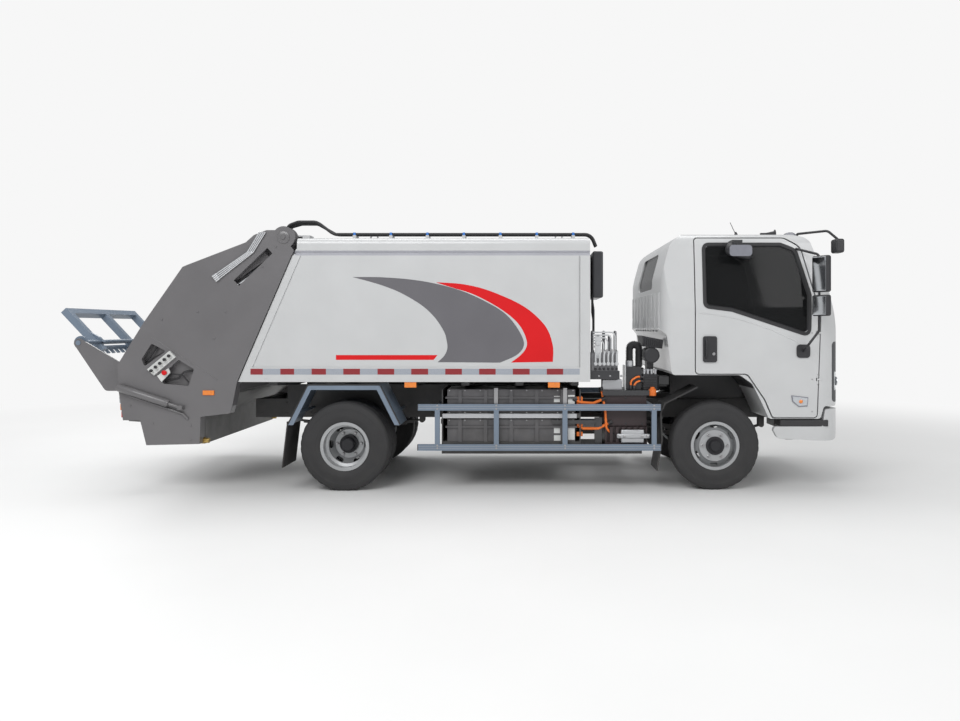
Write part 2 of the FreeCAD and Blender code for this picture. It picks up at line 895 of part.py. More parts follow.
def front_rim(side):
    """A front wheel: barrel, outward bulging disc with oval vents, hub and hub cap."""
    y = side * front_track / 2
    barrel = turned(signed(barrel_outline(0.0), side), front_axle_x, y, tyre_radius)
    join = rim_seat_radius - rim_wall / 2
    shoulder = hub_radius + (join - hub_radius) / 2
    face = rim_width / 2 - disc_wall
    disc = [(join, face / 4), (shoulder + disc_wall, face - disc_wall), (shoulder, face + disc_wall / 2),
            (hub_radius, face + disc_wall), (hub_radius, face),
            (shoulder - disc_wall / 2, face - disc_wall / 2),
            (shoulder + disc_wall / 2, face - 2 * disc_wall), (join, face / 4 - disc_wall)]
    plate = turned(signed(disc, side), front_axle_x, y, tyre_radius)
    plate = plate.cut(vents(front_axle_x, y - side * overrun, side, rim_width, front_vent_circle,
                            front_vent_turn_share))
    back = front_hub_back - front_track / 2
    nose = face + disc_wall + front_hub_length
    bore = spindle_radius + hub_bore_clearance
    bore_end = front_spindle_end - front_track / 2 + overrun
    hub = [(bore, back), (hub_radius, back), (hub_radius, face + disc_wall + rim_wall),
           (hub_cap_radius, face + disc_wall + rim_wall), (hub_cap_radius, nose - rim_wall),
           (hub_cap_radius - rim_wall, nose), (0.0, nose), (0.0, bore_end), (bore, bore_end)]
    core = turned(signed(hub, side), front_axle_x, y, tyre_radius)
    return fuse([barrel, plate, core])


def rear_rims(side):
    """Twin rims bolted back to back on one hub, the outer disc dished inwards."""
    y = side * rear_track / 2
    spacing = twin_spacing / 2
    join = rim_seat_radius - rim_wall / 2
    pieces = []
    for way in (-1, 1):
        pieces.append(turned(signed(signed(barrel_outline(spacing), side), way), rear_axle_x, y, tyre_radius))
        mount = hub_radius + (stud_circle_radius - hub_radius) * 2
        disc = [(hub_radius, 0.0), (mount, 0.0), (join, spacing - disc_wall), (join, spacing + disc_wall / 2),
                (mount - disc_wall / 2, disc_wall), (hub_radius, disc_wall)]
        plate = turned(signed(signed(disc, side), way), rear_axle_x, y, tyre_radius)
        start = y + side * way * disc_wall * 1.5
        pieces.append(plate.cut(vents(rear_axle_x, start, side * way, spacing, rear_vent_circle,
                                      rear_vent_turn_share)))
    back = rear_hub_back - rear_track / 2
    bore = rear_spindle_radius + hub_bore_clearance
    bore_end = rear_spindle_end - rear_track / 2 + overrun
    nose = rear_hub_length
    hub = [(bore, back), (hub_radius, back), (hub_radius, nose / 2), (hub_cap_radius * 1.2, nose / 2),
           (hub_cap_radius * 1.2, nose), (hub_cap_radius, nose + disc_wall), (0.0, nose + disc_wall),
           (0.0, bore_end), (bore, bore_end)]
    pieces.append(turned(signed(hub, side), rear_axle_x, y, tyre_radius))
    return fuse(pieces)


def tyre(x, y):
    """A tyre with bulged sidewalls, rounded shoulders and a flat tread band."""
    half = tyre_width / 2
    bead = tyre_bead_radius + tyre_seat_gap
    tread_half = half - tyre_shoulder
    bead_half = rim_width / 2 - rim_wall
    shoulder_radius_at = tyre_radius - tyre_shoulder
    bulge_radius = (bead + shoulder_radius_at) / 2

    def place(radius, side):
        return point(x, y + side, tyre_radius + radius)

    edges = []
    seat = rim_seat_radius + tyre_seat_gap
    foot = rim_width / 2 - rim_wall
    corners = [(seat, -foot), (seat, foot)]
    edges.append(Part.LineSegment(place(*corners[0]), place(*corners[1])).toShape())
    for way in (-1, 1):
        edges.append(Part.LineSegment(place(seat, way * foot), place(bead, way * (foot))).toShape())
        edges.append(Part.LineSegment(place(bead, way * foot),
                                      place(bead, way * (half - tyre_bulge))).toShape())
        edges.append(Part.Arc(place(bead, way * (half - tyre_bulge)), place(bulge_radius, way * half),
                              place(shoulder_radius_at, way * (half - tyre_bulge))).toShape())
        edges.append(Part.Arc(place(shoulder_radius_at, way * (half - tyre_bulge)),
                              place(tyre_radius - tyre_shoulder / 3, way * (half - tyre_bulge * 1.4)),
                              place(tyre_radius, way * (tread_half - tyre_bulge))).toShape())
    edges.append(Part.LineSegment(place(tyre_radius, bulge_radius * 0 - tread_half + tyre_bulge),
                                  place(tyre_radius, tread_half - tyre_bulge)).toShape())
    face = Part.Face(Part.Wire(Part.__sortEdges__(edges)))
    return face.revolve(point(x, y, tyre_radius), leftwards, 360)


def body_outline(inset):
    """The (y, z) outline of the load body, moved in from its skin by an inset."""
    side = body_half_width - inset
    top = body_roof - inset
    low = body_floor + (floor_rise if inset else 0.0)
    if inset:
        right = [(side, low), (side, top)]
        rounds = [0.0, shoulder_radius]
    else:
        sill = body_floor + body_sill_height
        groove = groove_bottom + groove_height
        right = [(side + body_sill_proud, low), (side + body_sill_proud, sill), (side, sill),
                 (side, groove_bottom), (side - groove_depth, groove_bottom + groove_depth),
                 (side - groove_depth, groove - groove_depth), (side, groove), (side, top)]
        rounds = [0.0] * (len(right) - 1) + [shoulder_radius]
    outline = right + [(0.0, top + body_crown)] + [(-y, z) for y, z in reversed(right)]
    crown_round = body_half_width * 4
    return outline, rounds + [crown_round] + rounds[::-1]


def joint_line(z, offset):
    """X on the sloping joint between body and tailgate, moved forwards by an offset."""
    slope = (joint_top_x - joint_bottom_x) / (joint_top_z - joint_bottom_z)
    return at(joint_bottom_x + (z - joint_bottom_z) * slope) + offset


def joint_offset():
    """The forward step in X that leaves the named gap square to the joint."""
    slope = (joint_top_x - joint_bottom_x) / (joint_top_z - joint_bottom_z)
    return gap * math.hypot(1, slope)


def body_shell():
    """The hollow load body: rounded shoulders, side grooves, sills and an open sloping rear."""
    outline, rounds = body_outline(0.0)
    start = at(joint_bottom_x) - overrun
    whole = prism_x(outline, start, at(body_front), rounds)
    inner, inner_rounds = body_outline(body_wall)
    hollow = prism_x(inner, start - overrun, at(body_front) - body_wall, inner_rounds)
    high = body_roof + body_crown + overrun
    low = body_floor - overrun
    front_of_joint = at(joint_top_x) + joint_offset() + hinge_front_step
    rear_cut = [(start - overrun, low), (joint_line(low, joint_offset()), low),
                (joint_line(joint_top_z, joint_offset()), joint_top_z),
                (front_of_joint, joint_top_z + hinge_front_step), (front_of_joint, high),
                (start - overrun, high)]
    wide = body_half_width + body_sill_proud + overrun
    shell = whole.cut([hollow, prism_y(rear_cut, -wide, wide)])
    posts = []
    for side in (-1, 1):
        y = sorted((side * (body_half_width - body_wall / 2), side * (body_half_width + body_sill_proud)))
        posts.append(box(at(body_front) - corner_post_width, at(body_front), y[0], y[1],
                         body_floor + body_sill_height, groove_bottom))
        bottom = body_floor + body_sill_height
        rim = [(joint_line(bottom, joint_offset()), bottom),
               (joint_line(groove_bottom, joint_offset()), groove_bottom),
               (joint_line(groove_bottom, joint_offset()) + rear_frame_width, groove_bottom),
               (joint_line(bottom, joint_offset()) + rear_frame_width, bottom)]
        posts.append(prism_y(rim, y[0], y[1]))
    pitch = 2 * body_half_width / (body_front_rib_count + 1)
    for rib in range(body_front_rib_count):
        y = -body_half_width + pitch * (rib + 1)
        posts.append(box(at(body_front) - overrun, at(body_front) + body_front_rib_depth,
                         y - subframe_width / 2, y + subframe_width / 2,
                         body_floor, body_roof - shoulder_radius * 2))
    posts += roof_header()
    for side in (-1, 1):
        posts += hinge_lugs(side)
        posts.append(cylinder_bracket(side))
    return fuse([shell] + posts + hose_bridge())


def hose_bridge():
    """The shelf over the roof hinge where the hoses end, and the cleats they lie on."""
    top = hose_run_z - hose_radius - hose_seat_gap
    shelf = box(at(bridge_rear), at(bridge_front), -bridge_outer, -bridge_inner, top - bridge_plate, top)
    riser = box(at(bridge_riser), at(bridge_front), -bridge_outer, -bridge_inner,
                body_roof - body_wall / 2, top)
    pieces = [shelf, riser]
    near = -(hose_y + hose_radius * 2)
    far = -(hose_y - hose_pitch * (hose_count - 1) - hose_radius * 2)
    pitch = (hose_front - hose_turn * 2 - hose_settle) / (cleat_count - 1)
    for cleat in range(cleat_count):
        x = at(hose_settle) + pitch * cleat
        pieces.append(box(x, x + cleat_width, near, far, body_roof - body_wall / 2, top))
    return pieces


def roof_header():
    """The roof's rear edge, carried back under the tailgate's cover, open at the ears."""
    rear = at(hinge_x) - header_reach
    front = at(joint_top_x) + joint_offset() + hinge_front_step + overrun
    lug_half = hinge_lug_width / 2 + running_side_gap + hinge_ear_width - overrun
    outer = tailgate_half_width - tailgate_side - header_side_gap
    pieces = []
    for y0, y1 in ((-outer, -hinge_lug_y - lug_half), (lug_half - hinge_lug_y, hinge_lug_y - lug_half),
                   (hinge_lug_y + lug_half, outer)):
        pieces.append(box(rear, front, y0, y1, body_roof - body_wall, body_roof))
    return pieces


def hinge_lugs(side):
    """Two roof lugs and the pin that the tailgate swings on."""
    pieces = []
    centre = side * hinge_lug_y
    for way in (-1, 1):
        near = centre + way * (hinge_lug_width / 2 + running_side_gap)
        y = sorted((near, near + way * hinge_ear_width))
        arm = [(at(hinge_x) - hinge_lug_arm / 2, hinge_z), (at(hinge_x), hinge_z + hinge_lug_arm / 2),
               (at(joint_top_x) + hinge_lug_reach, body_roof + hinge_lug_arm / 2),
               (at(joint_top_x) + hinge_lug_reach + hinge_lug_arm, body_roof - body_wall / 2),
               (at(joint_top_x) + hinge_front_step + joint_offset(), body_roof - body_wall),
               (at(hinge_x), hinge_z - hinge_lug_arm / 2)]
        plate = prism_y(arm, y[0], y[1], [hinge_lug_arm / 2, hinge_lug_arm / 2, 0, 0, 0, hinge_lug_arm / 2])
        pieces.append(plate)
    reach = hinge_lug_width / 2 + running_side_gap + hinge_ear_width + overrun
    pieces.append(rod(point(at(hinge_x), centre - reach, hinge_z),
                      point(at(hinge_x), centre + reach, hinge_z),
                      hinge_pin_radius))
    return pieces


def cylinder_bracket(side):
    """The arm on the body's rear frame that a lift cylinder's barrel turns on."""
    half = cylinder_eye_radius * bracket_nose_share
    front = joint_line(barrel_z, joint_offset()) + rear_frame_width / 2
    inner = side * (cylinder_y - cylinder_eye_width / 2 - running_side_gap)
    y = sorted((inner, inner - side * bracket_plate))
    arm = box(at(barrel_x), front, y[0], y[1], barrel_z - half, barrel_z + half)
    nose = Part.makeCylinder(half, y[1] - y[0], point(at(barrel_x), y[0], barrel_z), leftwards)
    pin_end = side * (cylinder_y + cylinder_eye_width / 2 + running_side_gap)
    pin = rod(point(at(barrel_x), inner, barrel_z), point(at(barrel_x), pin_end, barrel_z),
              cylinder_pin_radius)
    root_y = sorted((inner - side * bracket_plate, side * (body_half_width - body_wall / 2)))
    root_x = joint_line(barrel_z, joint_offset()) + rear_frame_width / 4
    root = box(root_x, front, root_y[0], root_y[1], barrel_z - half, barrel_z + half)
    return fuse([arm, nose, pin, root])


def subframe():
    """Two beams on the chassis rails."""
    beams = []
    for side in (-1, 1):
        y = side * (rail_y - subframe_width / 2) - subframe_width / 2
        beams.append(box(at(subframe_rear), at(subframe_front), y, y + subframe_width,
                         rail_top, body_floor - bearer_height))
    return together(beams)


def cross_bearers():
    """The bearers across the beams that carry the load body."""
    pieces = []
    for station in subframe_cross_stations:
        shape = [(-bearer_reach, body_floor), (bearer_reach, body_floor),
                 (bearer_reach, body_floor - bearer_height / 2), (rail_y, body_floor - bearer_height),
                 (-rail_y, body_floor - bearer_height), (-bearer_reach, body_floor - bearer_height / 2)]
        pieces.append(prism_x(shape, at(station) - subframe_width / 2, at(station) + subframe_width / 2))
    return together(pieces)


def ejector():
    """The pushing plate inside the body: an upright plate, leaning top and side frames."""
    inner_half = body_half_width - body_wall - ejector_side_gap
    low = body_floor + floor_rise + ejector_side_gap
    high = body_roof - body_wall - ejector_side_gap
    front = at(ejector_rest_front)
    plate = [(front - ejector_depth, low), (front - ejector_depth + ejector_plate, low),
             (front - ejector_depth + ejector_plate, (low + high) / 2), (front, high),
             (front - ejector_plate, high),
             (front - ejector_depth, (low + high) / 2)]
    pieces = [prism_y(plate, -inner_half, inner_half)]
    pitch = (2 * inner_half - ejector_plate) / (ejector_rib_count - 1)
    for rib in range(ejector_rib_count):
        y = -inner_half + pitch * rib
        web = [(front - ejector_depth + ejector_plate / 2, low), (front, low), (front, high)]
        web.append((front - ejector_plate / 2, high))
        web.append((front - ejector_depth + ejector_plate / 2, (low + high) / 2))
        pieces.append(prism_y(web, y, y + ejector_plate))
    for side in (-1, 1):
        y = side * inner_half / 2
        pieces.append(box(front - ejector_depth, front, y - ejector_plate, y + ejector_plate,
                          body_floor + floor_rise + slide_clearance, low + overrun))
    return fuse(pieces)


def tailgate_points():
    length = hinge_x + hinge_lug_radius - tailgate_rear
    height = tailgate_top - tailgate_low
    return [(at(tailgate_rear) + x * length, tailgate_low + z * height) for x, z in tailgate_shares]


def tailgate_face_outline():
    """The side outline, its front edge set on the joint line."""
    points = tailgate_points()
    points[0] = (joint_line(joint_top_z, 0.0), joint_top_z)
    points[1] = (joint_line(joint_bottom_z, 0.0), joint_bottom_z)
    return points


def cylinder_passes(low_y):
    """The places that a lift cylinder takes in the tailgate's own frame, with room round it."""
    start, end, way = cylinder_line()
    passes = []
    for step in range(pocket_steps + 1):
        lift = tailgate_lift * step / pocket_steps
        turn = FreeCAD.Rotation(leftwards, lift * barrel_turn_ratio)
        reach = (end - start).Length + rod_travel_ratio * math.radians(lift)
        eye = start + turn.multVec(way) * reach
        half = barrel_radius + pocket_room
        link = bar_y((start.x, start.z), (eye.x, eye.z), half, low_y, low_y + cylinder_pocket)
        link.rotate(point(at(hinge_x), 0, hinge_z), leftwards, -lift)
        passes.append(link)
    return passes


def side_box(side):
    """One tailgate side: a thick wall with a pocket for the lift cylinder and a slot over it."""
    outer = side * tailgate_half_width
    inner = side * (tailgate_half_width - tailgate_side)
    y = sorted((outer, inner))
    wall = prism_y(tailgate_face_outline(), y[0], y[1])
    lug = Part.makeCylinder(hinge_lug_radius, y[1] - y[0], point(at(hinge_x), y[0], hinge_z), leftwards)
    eye = point(at(rod_eye_x), 0, rod_eye_z)
    swing = point(at(hinge_x), 0, hinge_z)
    way = eye - swing
    pocket_y = side * cylinder_y - cylinder_pocket / 2
    angle = math.degrees(math.atan2(-way.z, way.x))
    disc = Part.makeCylinder(pocket_swing, cylinder_pocket, point(at(hinge_x), pocket_y, hinge_z), leftwards)
    slot_start = swing + way * slot_start_share
    slot_end = swing + way * slot_end_share
    slot_y = sorted((outer + side * overrun, side * (cylinder_y)))
    slot = box(0, (slot_end - slot_start).Length, slot_y[0], slot_y[1], -slot_half_width, slot_half_width)
    slot.rotate(point(0, 0, 0), leftwards, angle)
    slot.translate(slot_start)
    bay_y = sorted((outer + side * overrun, outer - side * bay_depth))
    bays = []
    for corners in (bay_front_points, bay_rear_points):
        outline = [(at(x), z) for x, z in corners]
        bays.append(prism_y(outline, bay_y[0], bay_y[1], [bay_round] * len(outline)))
    return fuse([wall, lug]).cut([disc, slot] + bays + cylinder_passes(pocket_y))


def tailgate_ears():
    """The ears of the tailgate that turn on the roof pins, carried by a cross tube."""
    pieces = []
    inner = tailgate_half_width - tailgate_side
    tube_x = at(hinge_x) - ear_length
    tube_z = hinge_z - ear_drop
    pieces.append(rod(point(tube_x, -inner, tube_z), point(tube_x, inner, tube_z), cross_tube_radius))
    for side in (-1, 1):
        y = side * hinge_lug_y - hinge_lug_width / 2
        half = hinge_pin_radius * 2
        eye = Part.makeCylinder(half, hinge_lug_width, point(at(hinge_x), y, hinge_z), leftwards)
        arm = [(at(hinge_x), hinge_z - half), (at(hinge_x), hinge_z + half),
               (tube_x, tube_z + cross_tube_radius), (tube_x, tube_z - cross_tube_radius)]
        bore = Part.makeCylinder(hinge_pin_radius + running_clearance, hinge_lug_width + 2 * overrun,
                                 point(at(hinge_x), y - overrun, hinge_z), leftwards)
        pieces.append(fuse([eye, prism_y(arm, y, y + hinge_lug_width)]).cut(bore))
    return pieces


def cover_plate(line, y0, y1):
    """A stretch of the sloping cover between two places across the tailgate."""
    outer_line = [(x, z - cover_inset) for x, z in line]
    inner_line = [(x + mouth_cover_plate * 0.4, z - cover_inset - mouth_cover_plate) for x, z in line]
    return prism_y(outer_line + inner_line[::-1], y0, y1)


def tailgate_shell():
    """Both side walls, the ear tube, the sloping cover and the guide rails of the packer."""
    inner = tailgate_half_width - tailgate_side
    points = tailgate_face_outline()
    cover_line = points[cover_first:cover_last]
    pieces = [side_box(-1), side_box(1)] + tailgate_ears()
    pieces.append(cover_plate(cover_line, -inner, inner))
    hose_edge = hose_pitch * (hose_count - 1) + hose_radius * 2 - hose_y
    pieces.append(cover_plate(points[cover_last - 1:cover_last + 1], hose_edge + flap_gap, inner))
    lip_x, lip_z = cover_line[0]
    lip = rod(point(lip_x + lip_width / 2, -inner, lip_z - cover_inset - mouth_cover_plate / 2),
              point(lip_x + lip_width / 2, inner, lip_z - cover_inset - mouth_cover_plate / 2), lip_width / 2)
    pieces.append(lip)
    for side in (-1, 1):
        pieces += guide_rails(side)
    return fuse(pieces)


def along_carriage(run, square):
    """A point in the packer's sloping frame: down the guides, and square to them towards the rear."""
    lean = math.radians(carriage_angle)
    x = at(carriage_hinge_x) - run * math.sin(lean) - square * math.cos(lean)
    z = carriage_hinge_z - run * math.cos(lean) + square * math.sin(lean)
    return (x, z)


def sloped_block(run0, run1, square0, square1, y0, y1):
    corners = [along_carriage(run0, square0), along_carriage(run1, square0),
               along_carriage(run1, square1), along_carriage(run0, square1)]
    return prism_y(corners, min(y0, y1), max(y0, y1))


def guide_rails(side):
    """The two bars on a side wall that a carriage shoe runs between."""
    wall = side * (tailgate_half_width - tailgate_side)
    face = wall - side * guide_width
    half = shoe_size / 2 + gap
    start = -carriage_length - guide_overlap
    end = carriage_stroke + guide_overlap
    return [sloped_block(start, end, half, half + guide_width, wall, face),
            sloped_block(start, end, -half - guide_width, -half, wall, face)]


def hopper_tub():
    """The curved trough and the rear wall under the mouth, between the side walls."""
    inner = tailgate_half_width - tailgate_side
    centre = along_carriage(carriage_stroke, 0.0)
    trough = []
    for reach in (trough_radius, trough_radius + hopper_plate):
        start_x = at(tub_front_x)
        start = (start_x, centre[1] - math.sqrt(reach ** 2 - (start_x - centre[0]) ** 2))
        end_x = at(tub_rear_x)
        end = (end_x, centre[1] - math.sqrt(reach ** 2 - (end_x - centre[0]) ** 2))
        trough.append((start, (centre[0], centre[1] - reach), end))
    pieces = []
    rows = []
    for start, middle, end in trough:
        rows.append(Part.Arc(point(start[0], -inner, start[1]), point(middle[0], -inner, middle[1]),
                             point(end[0], -inner, end[1])).toShape())
    ends = [Part.LineSegment(rows[0].Vertexes[i].Point, rows[1].Vertexes[i].Point).toShape() for i in (0, 1)]
    face = Part.Face(Part.Wire(Part.__sortEdges__(rows + ends)))
    pieces.append(face.extrude(point(0, 2 * inner, 0)))
    front_start = trough[0][0]
    ramp = [(front_start[0], front_start[1]), (at(tub_front_x), ramp_low),
            (joint_line(ramp_high, -gap), ramp_high),
            (joint_line(ramp_high, -gap), ramp_high - hopper_plate),
            (at(tub_front_x) + hopper_plate, ramp_low - hopper_plate),
            (at(tub_front_x) + hopper_plate, front_start[1] - hopper_plate),
            (front_start[0], front_start[1] - hopper_plate)]
    pieces.append(prism_y(ramp, -inner, inner))
    rear_end = trough[0][2]
    wall = [(rear_end[0], rear_end[1]), (at(tub_back_x) + hopper_plate, rear_end[1] + hopper_plate / 2),
            (at(mouth_lip_x) + hopper_plate, mouth_lip_z), (at(mouth_lip_x), mouth_lip_z),
            (at(tub_back_x), rear_end[1] - hopper_plate / 2), (rear_end[0], rear_end[1] - hopper_plate)]
    pieces.append(prism_y(wall, -inner, inner))
    lip = rod(point(at(mouth_lip_x) + lip_width / 2, -inner, mouth_lip_z),
              point(at(mouth_lip_x) + lip_width / 2, inner, mouth_lip_z), lip_width / 2)
    pieces.append(lip)
    sump = [(at(tub_front_x) + hopper_plate, trough[1][0][1]), (at(tub_front_x) + hopper_plate, tailgate_low),
            (at(sump_rear_x), tailgate_low), (at(tub_rear_x), trough[1][2][1])]
    arc = Part.makeCylinder(trough_radius + hopper_plate / 2, 2 * inner, point(centre[0], -inner, centre[1]),
                            leftwards)
    pieces.append(prism_y(sump, -inner, inner).cut(arc))
    front = box(at(tub_front_x), at(tub_front_x) + hopper_plate, -inner, inner,
                tailgate_low, front_start[1])
    pieces.append(front)
    return fuse(pieces)


def packer_carriage():
    """The sliding carriage: ribbed plate, two shoes in the guides and the blade's hinge ears."""
    inner = tailgate_half_width - tailgate_side
    half = inner - guide_width - carriage_side_gap
    top = -carriage_length
    low = -blade_tube_radius - ear_reach
    pieces = [sloped_block(top, low, -carriage_plate / 2, carriage_plate / 2, -half, half)]
    for share in carriage_rib_shares:
        y = half * share
        pieces.append(sloped_block(top, low, -carriage_plate * 1.6, 0, y - carriage_plate / 2,
                                   y + carriage_plate / 2))
    for edge in (top, low - carriage_plate):
        pieces.append(sloped_block(edge, edge + carriage_plate, -carriage_plate * 1.6, carriage_plate,
                                   -half, half))
    for side in (-1, 1):
        reach = side * (inner - gap)
        pieces.append(sloped_block(top + shoe_inset, low - shoe_inset / 2, -shoe_size / 2, shoe_size / 2,
                                   side * (half - overrun), reach))
        wear = shoe_size / 2 + gap - slide_clearance
        for run in (top + shoe_inset, low - shoe_inset / 2 - shoe_inset):
            pieces.append(sloped_block(run, run + shoe_inset, -wear, wear,
                                       side * (half + carriage_side_gap), reach))
    for share in blade_ear_shares:
        y = half * share
        ear = sloped_block(low - carriage_plate, 0, -blade_pin_radius * 1.6, blade_pin_radius * 1.6,
                           y - blade_ear_width / 2, y + blade_ear_width / 2)
        x, z = along_carriage(0, 0)
        nose = Part.makeCylinder(blade_pin_radius * 1.6, blade_ear_width,
                                 point(x, y - blade_ear_width / 2, z), leftwards)
        pieces += [ear, nose]
    x, z = along_carriage(0, 0)
    pieces.append(rod(point(x, -half, z), point(x, half, z), blade_pin_radius))
    return fuse(pieces)


def packer_blade():
    """The blade: a hinge tube broken at the carriage's ears, a curved plate and ribs behind it."""
    inner = tailgate_half_width - tailgate_side
    half = inner - guide_width - carriage_side_gap
    x, z = along_carriage(0, 0)
    plate = [(x + blade_plate / 2, z - blade_tube_radius * 0.6), (x + blade_plate, z - blade_length / 2),
             (x + blade_plate / 2, z - blade_length), (x - blade_plate / 4, z - blade_length),
             (x, z - blade_length / 2), (x - blade_plate / 2, z - blade_tube_radius * 0.6)]
    pieces = [prism_y(plate, -half, half)]
    tube = rod(point(x, -half, z), point(x, half, z), blade_tube_radius)
    pieces.append(tube)
    pitch = 2 * (half - blade_plate) / (blade_rib_count - 1)
    for rib in range(blade_rib_count):
        y = -half + blade_plate + pitch * rib
        web = [(x - blade_tube_radius * 0.7, z), (x, z - blade_length * 0.9), (x, z)]
        pieces.append(prism_y(web, y - blade_plate / 4, y + blade_plate / 4))
    whole = fuse(pieces)
    cutters = [rod(point(x, -half - overrun, z), point(x, half + overrun, z),
                   blade_pin_radius + running_clearance)]
    for share in blade_ear_shares:
        y = half * share
        wide_ear = blade_ear_width / 2 + running_side_gap
        cutters.append(rod(point(x, y - wide_ear, z), point(x, y + wide_ear, z), ear_clear_radius))
    return whole.cut(cutters)


def cylinder_line():
    """The lift cylinder's start, end and unit direction in the XZ plane."""
    start = point(at(barrel_x), 0, barrel_z)
    end = point(at(rod_eye_x), 0, rod_eye_z)
    way = end - start
    return start, end, way / way.Length


def lift_barrel(side):
    """A cylinder barrel with its eye on the body's bracket, bored for the rod."""
    start, end, way = cylinder_line()
    y = point(0, side * cylinder_y, 0)
    eye_y = point(0, side * cylinder_y - cylinder_eye_width / 2, 0)
    eye = Part.makeCylinder(cylinder_eye_radius, cylinder_eye_width, start + eye_y, leftwards)
    tube = rod(start + y + way * cylinder_eye_radius * 0.8, start + y + way * barrel_length, barrel_radius)
    pin_bore = Part.makeCylinder(cylinder_pin_radius + running_clearance, cylinder_eye_width + 2 * overrun,
                                 start + eye_y - point(0, overrun, 0), leftwards)
    bore = rod(start + y + way * (2 * cylinder_eye_radius), start + y + way * (barrel_length + overrun),
               rod_radius + running_clearance)
    return fuse([eye, tube]).cut([pin_bore, bore])


def lift_rod(side):
    """The rod in its barrel, ending in the eye that meets the tailgate."""
    start, end, way = cylinder_line()
    y = point(0, side * cylinder_y, 0)
    bar = rod(start + y + way * (2.5 * cylinder_eye_radius), end + y - way * cylinder_eye_radius * 0.8,
              rod_radius)
    eye_y = point(0, side * cylinder_y - cylinder_eye_width / 2, 0)
    eye = Part.makeCylinder(cylinder_eye_radius, cylinder_eye_width, end + eye_y, leftwards)
    bore = Part.makeCylinder(cylinder_pin_radius, cylinder_eye_width + 2 * overrun,
                             end + eye_y - point(0, overrun, 0), leftwards)
    return fuse([bar, eye]).cut(bore)


def lifter_brackets():
    """The two side plates behind the hopper that carry the lifter's cross shaft."""
    pieces = []
    rear_edge = tailgate_points()[lip_index:lip_index + 2]
    for side in (-1, 1):
        y = sorted((side * lifter_plate_y, side * (lifter_plate_y + lifter_plate)))
        outline = [(at(lifter_x) - lifter_eye_radius, lifter_z), (at(lifter_x), lifter_z + lifter_eye_radius),
                   rear_edge[1], rear_edge[0], (at(bracket_rear_x), rear_edge[0][1]),
                   (at(bracket_waist_x), bracket_waist_z)]
        rounds = [lifter_eye_radius * 0.6, lifter_eye_radius * 0.6, 0, 0, lifter_eye_radius,
                  lifter_eye_radius]
        plate = prism_y(outline, y[0], y[1], rounds)
        bore = Part.makeCylinder(lifter_shaft_radius + running_clearance, lifter_plate + 2 * overrun,
                                 point(at(lifter_x), y[0] - overrun, lifter_z), leftwards)
        pieces.append(plate.cut(bore))
    return together(pieces)


def frame_point(run, square):
    """A point in the lifter frame's plane: down from its top bar, and square to it towards the truck."""
    way = point(at(frame_low_x) - at(frame_top_x), 0, frame_low_z - frame_top_z)
    way = way / way.Length
    normal = point(-way.z, 0, way.x)
    spot = point(at(frame_top_x), 0, frame_top_z) + way * run + normal * square
    return (spot.x, spot.z)


def frame_block(run0, run1, square0, square1, y0, y1):
    corners = [frame_point(run0, square0), frame_point(run1, square0),
               frame_point(run1, square1), frame_point(run0, square1)]
    return prism_y(corners, min(y0, y1), max(y0, y1))


def bin_lifter():
    """The tipping frame: top bar, upright bars, slotted comb, cross shaft with arms and discs."""
    length = math.hypot(frame_low_x - frame_top_x, frame_low_z - frame_top_z)
    half = frame_half_width
    pieces = [frame_block(0, frame_bar, 0, frame_bar, -half, half)]
    pitch = (2 * half - frame_bar) / (frame_bar_count - 1)
    for bar in range(frame_bar_count):
        y = -half + pitch * bar
        pieces.append(frame_block(0, length, 0, frame_bar, y, y + frame_bar))
    comb = frame_block(length - comb_height, length, -comb_plate, 0, -half, half)
    slots = []
    slot_pitch = 2 * half / comb_slot_count
    for slot in range(comb_slot_count):
        y = -half + slot_pitch * (slot + 0.5)
        slots.append(frame_block(length - comb_height / 2, length + overrun, -comb_plate - overrun,
                                 overrun / 2,
                                 y - slot_pitch / 4, y + slot_pitch / 4))
    pieces.append(comb.cut(slots))
    shaft_reach = lifter_plate_y + lifter_plate + overrun
    pieces.append(rod(point(at(lifter_x), -shaft_reach, lifter_z), point(at(lifter_x), shaft_reach, lifter_z),
                      lifter_shaft_radius))
    for side in (-1, 1):
        arm_y = side * (half - frame_bar)
        foot_run = length * 0.72
        low = frame_point(foot_run, frame_bar * 0.5)
        high = frame_point(foot_run - frame_bar * 2.4, frame_bar * 0.5)
        outline = [low, high, (at(lifter_x), lifter_z + lifter_eye_radius),
                   (at(lifter_x) + lifter_eye_radius, lifter_z)]
        pieces.append(prism_y(outline, min(arm_y, arm_y + side * frame_bar / 2),
                              max(arm_y, arm_y + side * frame_bar / 2)))
        disc_y = side * (lifter_plate_y - lifter_plate)
        pieces.append(Part.makeCylinder(lifter_disc_radius, lifter_plate / 2,
                                        point(at(lifter_x), min(disc_y, disc_y - side * lifter_plate / 2),
                                              lifter_z),
                                        leftwards))
    return fuse(pieces)


